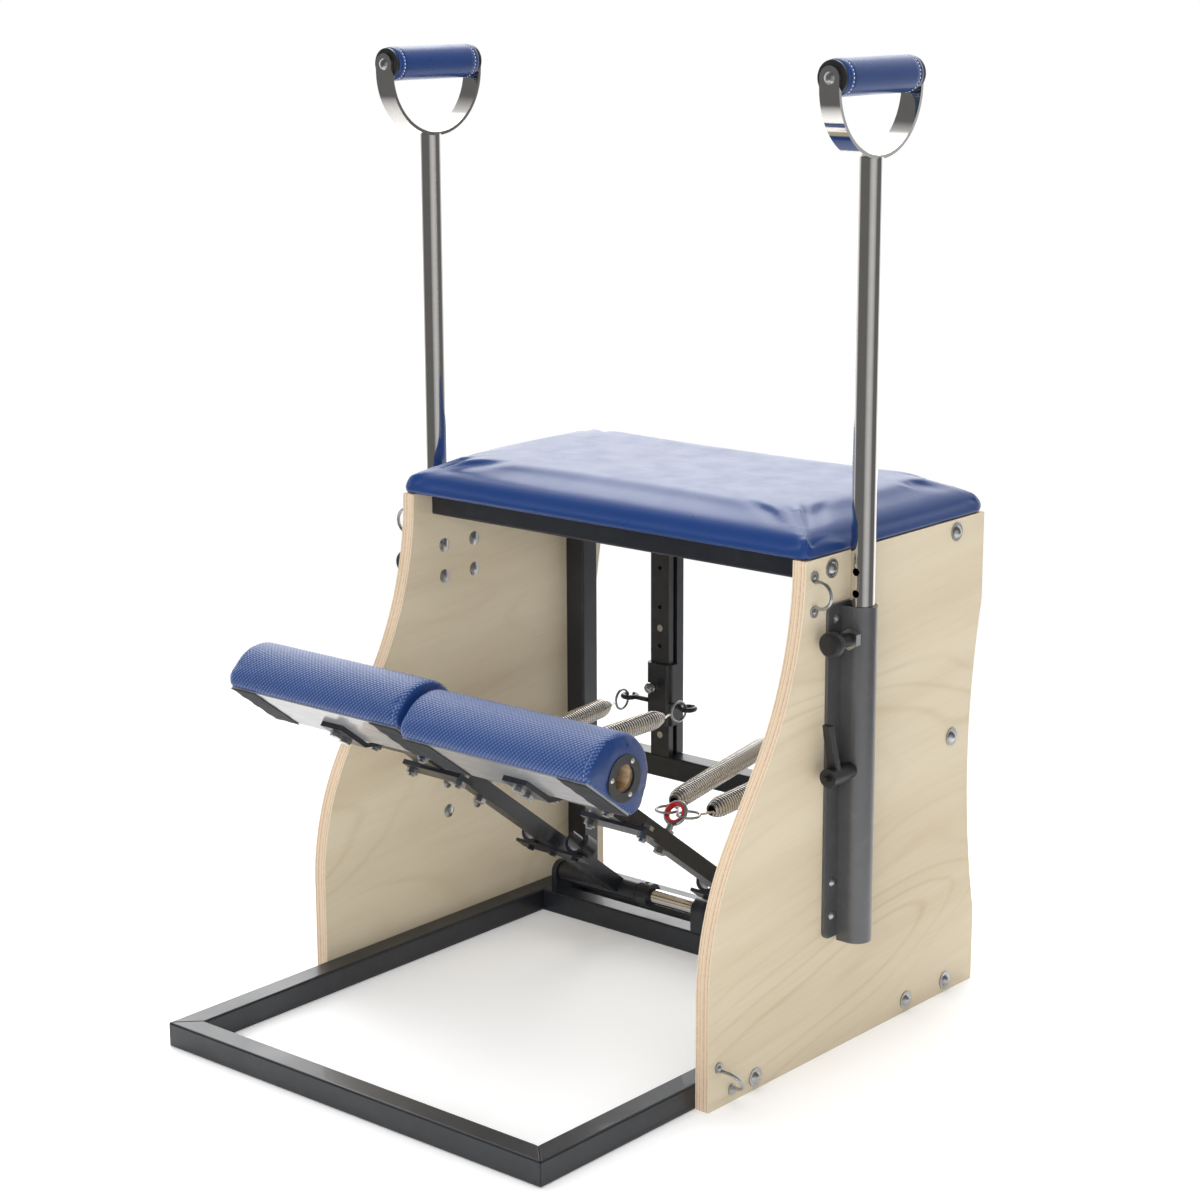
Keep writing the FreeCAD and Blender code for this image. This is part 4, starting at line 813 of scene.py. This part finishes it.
# Pedal pads
PAD_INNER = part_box("right_pedal_pad")[0].x
PAD_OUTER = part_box("right_pedal_pad")[1].x
PAD_BASE = -0.040
PAD_BASE_WIDTH = 0.092
PAD_BELLY = 0.024
PAD_THICKNESS = 0.075
PAD_CORNER_BULGE = 0.004
PAD_CORNER_STEPS = 4
PAD_CROWN_STEPS = 12
PAD_END_ROUND = 0.008
PAD_END_SHARE = 0.95
PAD_BOARD_SHOWS = 0.0015
PAD_VOXEL = 0.0035
PAD_SWELL = 0.0020
SOCKET_CUT = 0.020
SOCKET_CUT_DEPTH = 0.008
CAP_FACING = 0.8
SEAM_IN = 0.0055
SEAM_STITCHES = 44
SEAM_STITCH_LENGTH = 0.0030
STRIP_LENGTH = 0.040
STRIP_WIDTH = 0.086
STRIP_THICKNESS = 0.0007
STRIP_FACES_ALONG = 20
STRIP_FACES_ACROSS = 16
STRIP_RIPPLE = 0.0004
STRIP_RIPPLES_ALONG = 9
STRIP_RIPPLES_ACROSS = 23
STRIP_RIPPLE_SKEW = 5
STRIP_SLANT = 0.25


def pad_profile():
    """D outline of the pad, as (along the arm, up from it), from its rear foot over its crown."""
    half_base = PAD_BASE_WIDTH / 2
    half_width = PAD_WIDTH / 2
    rise = PAD_THICKNESS - PAD_BELLY
    crown = (half_width ** 2 + rise ** 2) / (2 * rise)
    sweep = math.atan2(half_width, crown - rise)
    foot = Vector((half_base, PAD_BOARD_SHOWS))
    belly = Vector((half_width, PAD_BELLY))
    outward = Vector((belly.y - foot.y, foot.x - belly.x)).normalized()
    corner = []
    for step in range(PAD_CORNER_STEPS):
        share = step / PAD_CORNER_STEPS
        corner.append(foot.lerp(belly, share) + outward * PAD_CORNER_BULGE * 4 * share * (1 - share))
    points = [(-along, up) for along, up in corner]
    for step in range(2 * PAD_CROWN_STEPS + 1):
        turn = sweep * (step / PAD_CROWN_STEPS - 1)
        points.append((crown * math.sin(turn), PAD_THICKNESS - crown + crown * math.cos(turn)))
    return points + [(along, up) for along, up in reversed(corner)]


def pad_mesh(side, sign):
    """Closed pad with its ends drawn in a little."""
    bm = bmesh.new()
    stations = (
        (PAD_INNER, PAD_END_SHARE), (PAD_INNER + PAD_END_ROUND, 1.0),
        (PAD_OUTER - PAD_END_ROUND, 1.0), (PAD_OUTER, PAD_END_SHARE),
    )
    middle = PAD_THICKNESS / 2
    loops = []
    for x, share in stations:
        loop = []
        for along, up in pad_profile():
            height = PAD_BASE + middle + share * (up - middle)
            loop.append(bm.verts.new(pedal_point(side, sign * x, PAD_REACH - share * along, height)))
        loops.append([bm.edges.new(pair) for pair in zip(loop, loop[1:] + loop[:1])])
    bmesh.ops.bridge_loops(bm, edges=[edge for loop in loops for edge in loop])
    bmesh.ops.holes_fill(bm, edges=loops[0] + loops[-1])
    return mesh_from(bm, side + "_pad_cover")


def open_sockets(piece, side):
    """Cut the end caps where the end rings sit, and give the caps their plain vinyl."""
    bm = bmesh.new()
    bm.from_mesh(piece.data)
    centre = pedal_point(side, 0, SOCKET_REACH, SOCKET_HEIGHT)
    for end in (PAD_INNER, PAD_OUTER):
        gone = []
        for face in bm.faces:
            place = face.calc_center_median()
            off = Vector((0, place.y - centre.y, place.z - centre.z)).length
            if abs(abs(place.x) - end) < SOCKET_CUT_DEPTH and off < SOCKET_CUT:
                gone.append(face)
        bmesh.ops.delete(bm, geom=gone, context="FACES")
    for face in bm.faces:
        face.material_index = 1 if abs(face.normal.x) > CAP_FACING else 0
    bm.to_mesh(piece.data)
    bm.free()


def add_seams(side, sign, pad):
    """Stitches round the cover beside each plain cap, laid on the cover's own skin."""
    skin = BVHTree.FromPolygons(
        [vert.co for vert in pad.data.vertices], [face.vertices for face in pad.data.polygons]
    )
    profile = [Vector((PAD_REACH - along, PAD_BASE + up)) for along, up in pad_profile()]
    gaps = [(second - first).length for first, second in zip(profile, profile[1:])]
    pitch = sum(gaps) / SEAM_STITCHES
    bm = bmesh.new()
    for x in (PAD_INNER + SEAM_IN, PAD_OUTER - SEAM_IN):
        walked = 0.0
        index = 0
        for first, second, gap in zip(profile, profile[1:], gaps):
            while index < SEAM_STITCHES and (index + 0.5) * pitch <= walked + gap:
                spot = first.lerp(second, ((index + 0.5) * pitch - walked) / gap)
                place, outward, _, _ = skin.find_nearest(pedal_point(side, sign * x, spot.x, spot.y))
                along = outward.cross(Vector((1, 0, 0))).normalized() * (SEAM_STITCH_LENGTH / 2)
                add_capsule(bm, place - along, place + along, STITCH_RADIUS)
                index += 1
            walked += gap
    mesh = mesh_from(bm, side + "_pad_stitches")
    add_piece(side + "_pad_stitches", mesh, SEAM_THREAD, side + "_pedal")


def add_strips(side, sign):
    """Grey lining folded under each end of the pad's board."""
    bm = bmesh.new()
    for start in (PAD_INNER + PAD_END_ROUND / 2, PAD_OUTER - PAD_END_ROUND / 2 - STRIP_LENGTH):
        made = bmesh.ops.create_grid(
            bm, x_segments=STRIP_FACES_ALONG, y_segments=STRIP_FACES_ACROSS, size=0.5
        )
        for vert in made["verts"]:
            along, across = vert.co.xy
            x = start + (along + 0.5) * STRIP_LENGTH
            reach = PAD_REACH + across * STRIP_WIDTH
            wave = math.sin(STRIP_RIPPLES_ACROSS * across + STRIP_RIPPLE_SKEW * along)
            ripple = STRIP_RIPPLE * math.sin(STRIP_RIPPLES_ALONG * along) * wave
            slant = STRIP_SLANT * STRIP_LENGTH * across * (0.5 - abs(along))
            vert.co = pedal_point(side, sign * (x + slant), reach, PAD_BASE - STRIP_THICKNESS + ripple)
    mesh = mesh_from(bm, side + "_pad_lining")
    strip = add_piece(side + "_pad_lining", mesh, FABRIC, side + "_pedal")
    thicken = strip.modifiers.new("thicken", "SOLIDIFY")
    thicken.thickness = STRIP_THICKNESS
    thicken.offset = 0


def add_pad(side, sign):
    """Woven vinyl cover over the pedal's board, with plain caps."""
    mesh = pad_mesh(side, sign)
    pad = add_piece(side + "_pad_cover", mesh, [WEAVE, CAP_VINYL])
    remeshed(pad, PAD_VOXEL)
    up = pedal_point(side, 0, 0, 1) - pedal_point(side, 0, 0, 0)
    foot = pedal_point(side, 0, PAD_REACH, PAD_BASE)
    inflate(pad, PAD_SWELL, lambda place: (place - foot).dot(up) < 2 * PAD_VOXEL)
    open_sockets(pad, side)
    finish_soft(pad, side + "_pedal")
    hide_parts(side + "_pedal_pad")
    add_seams(side, sign, pad)
    add_strips(side, sign)


# Handle grips: the end's round and the hem are (along the grip, below its skin)
GRIP_SIDES = 48
GRIP_BORE_SHARE = 0.5
GRIP_LIP = 0.0005
GRIP_END = ((0.0, 0.0030), (0.0006, 0.0012), (0.0020, 0.0003), (0.0050, 0.0))
GRIP_HEM = ((-0.0015, 0.0), (0.0, 0.0008), (0.0015, 0.0), (0.0060, 0.0))
GRIP_STITCHES = 30
GRIP_STITCH_IN = 0.008
GRIP_STITCH_LENGTH = 0.0026
GRIP_STITCH_SUNK = 0.0002


def add_grip(side):
    """Vinyl sleeve over foam with a stitched hem at each end."""
    low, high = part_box(side + "_handle_grip")
    radius = (high.x - low.x) / 2
    length = high.y - low.y
    start = Vector(((low.x + high.x) / 2, low.y, (low.z + high.z) / 2))
    axis = Vector((0, 1, 0))
    half = [(GRIP_LIP, radius * GRIP_BORE_SHARE)]
    half += [(along, radius - sunk) for along, sunk in GRIP_END]
    half += [(GRIP_STITCH_IN + along, radius - sunk) for along, sunk in GRIP_HEM]
    profile = half + [(length - along, out) for along, out in reversed(half)]
    bm = bmesh.new()
    add_lathe(bm, start, axis, profile, GRIP_SIDES)
    mesh = mesh_from(bm, side + "_grip_cover")
    grip = add_piece(side + "_grip_cover", mesh, FINISHES["blue_vinyl"])
    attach(grip, side + "_handle")
    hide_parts(side + "_handle_grip")
    bm = bmesh.new()
    for hem in (GRIP_STITCH_IN, length - GRIP_STITCH_IN):
        centre = start + axis * hem
        for index in range(GRIP_STITCHES):
            turn = 2 * math.pi * index / GRIP_STITCHES
            spoke = Vector((math.cos(turn), 0, math.sin(turn)))
            along = spoke.cross(axis) * (GRIP_STITCH_LENGTH / 2)
            place = centre + spoke * (radius - GRIP_STITCH_SUNK)
            add_capsule(bm, place - along, place + along, STITCH_RADIUS)
    mesh = mesh_from(bm, side + "_grip_stitches")
    add_piece(side + "_grip_stitches", mesh, STITCH, side + "_handle")


# Stage: each glow has its direction, how squarely it is faced from dim to full, and its strength
FLOOR_HALF = 12.0
FLOOR_FADE_START = 0.9
FLOOR_FADE_END = 2.0
FLOOR_LIFT = 0.1
FLOOR_TONE = 0.02
FRONT_GLOW = 0.16
BACKDROP_WAY = (-0.65, 0.76, 0.0)
BACKDROP_FACED = (0.1, 0.85)
BACKDROP_GLOW = 2.0
SOFTBOX_WAY = (0.90, -0.44, 0.0)
SOFTBOX_FACED = (0.7, 1.0)
SOFTBOX_GLOW = 0.7
OVERHEAD_WAY = (-0.52, 0.50, 0.69)
OVERHEAD_FACED = (0.8, 0.96)
OVERHEAD_GLOW = 4.0

# Lamps: place, target, size and power in watts
LAMPS = {
    "top_light": ((0.2, -0.3, 3.6), (0, 0, 0.3), (3.4, 3.4), 75),
    "key_light": ((1.9, -4.1, 1.8), (0, 0, 0.4), (2.4, 2.0), 120),
}


def add_area(name, place, target, size, power):
    """A soft lamp that lights without showing in polished pieces."""
    light = bpy.data.lights.new(name, "AREA")
    light.shape = "RECTANGLE"
    light.size, light.size_y = size
    light.energy = power
    lamp = bpy.data.objects.new(name, light)
    lamp.visible_glossy = False
    lamp.location = place
    lamp.rotation_euler = (Vector(target) - Vector(place)).to_track_quat("-Z", "Y").to_euler()
    bpy.context.scene.collection.objects.link(lamp)


def add_floor():
    """Pale floor under the chair that fades into the white backdrop as the camera sees it."""
    bm = bmesh.new()
    bmesh.ops.create_grid(bm, x_segments=4, y_segments=4, size=FLOOR_HALF)
    floor = bpy.data.objects.new("floor", mesh_from(bm, "floor"))
    made, tree, shader = new_material("floor_white", Roughness=0.9, Specular_IOR_Level=0.0)
    place = object_place(tree)
    clouds = map_range(tree, noise(tree, place, scale=3.0), 0.3, 0.7, 0.0, FLOOR_TONE)
    tree.links.new(mix_colour(tree, clouds, STAGE_WHITE, BOARD_WHITE), shader.inputs["Base Color"])
    distance = node(tree, "ShaderNodeVectorMath", {0: place}, operation="LENGTH").outputs["Value"]
    far = map_range(tree, distance, FLOOR_FADE_START, FLOOR_FADE_END)
    path = node(tree, "ShaderNodeLightPath").outputs
    seen = path["Is Camera Ray"]
    looked_at = math_node(tree, "MAXIMUM", seen, path["Is Glossy Ray"])
    shown = math_node(tree, "SUBTRACT", 1.0, math_node(tree, "MULTIPLY", far, looked_at))
    tree.links.new(shown, shader.inputs["Alpha"])
    shader.inputs["Emission Strength"].default_value = FLOOR_LIFT
    tree.links.new(seen, shader.inputs["Emission Color"])
    floor.data.materials.append(made)
    bpy.context.scene.collection.objects.link(floor)


def facing(tree, way, direction):
    """How squarely a way looks in a direction, from -1 to 1."""
    made = node(tree, "ShaderNodeVectorMath", {0: way, 1: direction}, operation="DOT_PRODUCT")
    return made.outputs["Value"]


def set_world():
    """White to the camera; a studio with a bright backdrop and a dark front to everything else."""
    world = bpy.data.worlds.new("studio")
    bpy.context.scene.world = world
    world.use_nodes = True
    tree = world.node_tree
    backdrop = tree.nodes["Background"]
    backdrop.inputs["Color"].default_value = STAGE_WHITE
    way = node(tree, "ShaderNodeTexCoord").outputs["Generated"]
    behind = facing(tree, way, BACKDROP_WAY)
    beside = facing(tree, way, SOFTBOX_WAY)
    above = facing(tree, way, OVERHEAD_WAY)
    around = map_range(tree, behind, *BACKDROP_FACED, FRONT_GLOW, BACKDROP_GLOW)
    softbox = map_range(tree, beside, *SOFTBOX_FACED, 0.0, SOFTBOX_GLOW)
    overhead = map_range(tree, above, *OVERHEAD_FACED, 0.0, OVERHEAD_GLOW)
    glow = math_node(tree, "MAXIMUM", math_node(tree, "MAXIMUM", around, overhead), softbox)
    seen = node(tree, "ShaderNodeLightPath").outputs["Is Camera Ray"]
    strength = node(tree, "ShaderNodeMix", {0: seen, 2: glow, 3: 1.0}).outputs[0]
    tree.links.new(strength, backdrop.inputs["Strength"])


def add_camera():
    camera = bpy.data.cameras.new("camera")
    camera.sensor_width = SENSOR_MM
    camera.lens = CAMERA_LENS_MM
    holder = bpy.data.objects.new("camera", camera)
    level = Matrix.Rotation(CAMERA_YAW, 4, "Z") @ Matrix.Rotation(math.pi / 2 + CAMERA_PITCH, 4, "X")
    turn = level @ Matrix.Rotation(CAMERA_ROLL, 4, "Z")
    holder.matrix_world = Matrix.Translation(CAMERA_PLACE) @ turn
    bpy.context.scene.collection.objects.link(holder)
    bpy.context.scene.camera = holder


def set_stage():
    add_floor()
    set_world()
    add_camera()
    for name, (place, target, size, power) in LAMPS.items():
        add_area(name, place, target, size, power)
    bpy.context.scene.view_settings.view_transform = "Standard"


add_seat()
for side, sign in SIDES.items():
    add_pad(side, sign)
    add_grip(side)
add_springs()
dress_nodes()
set_stage()
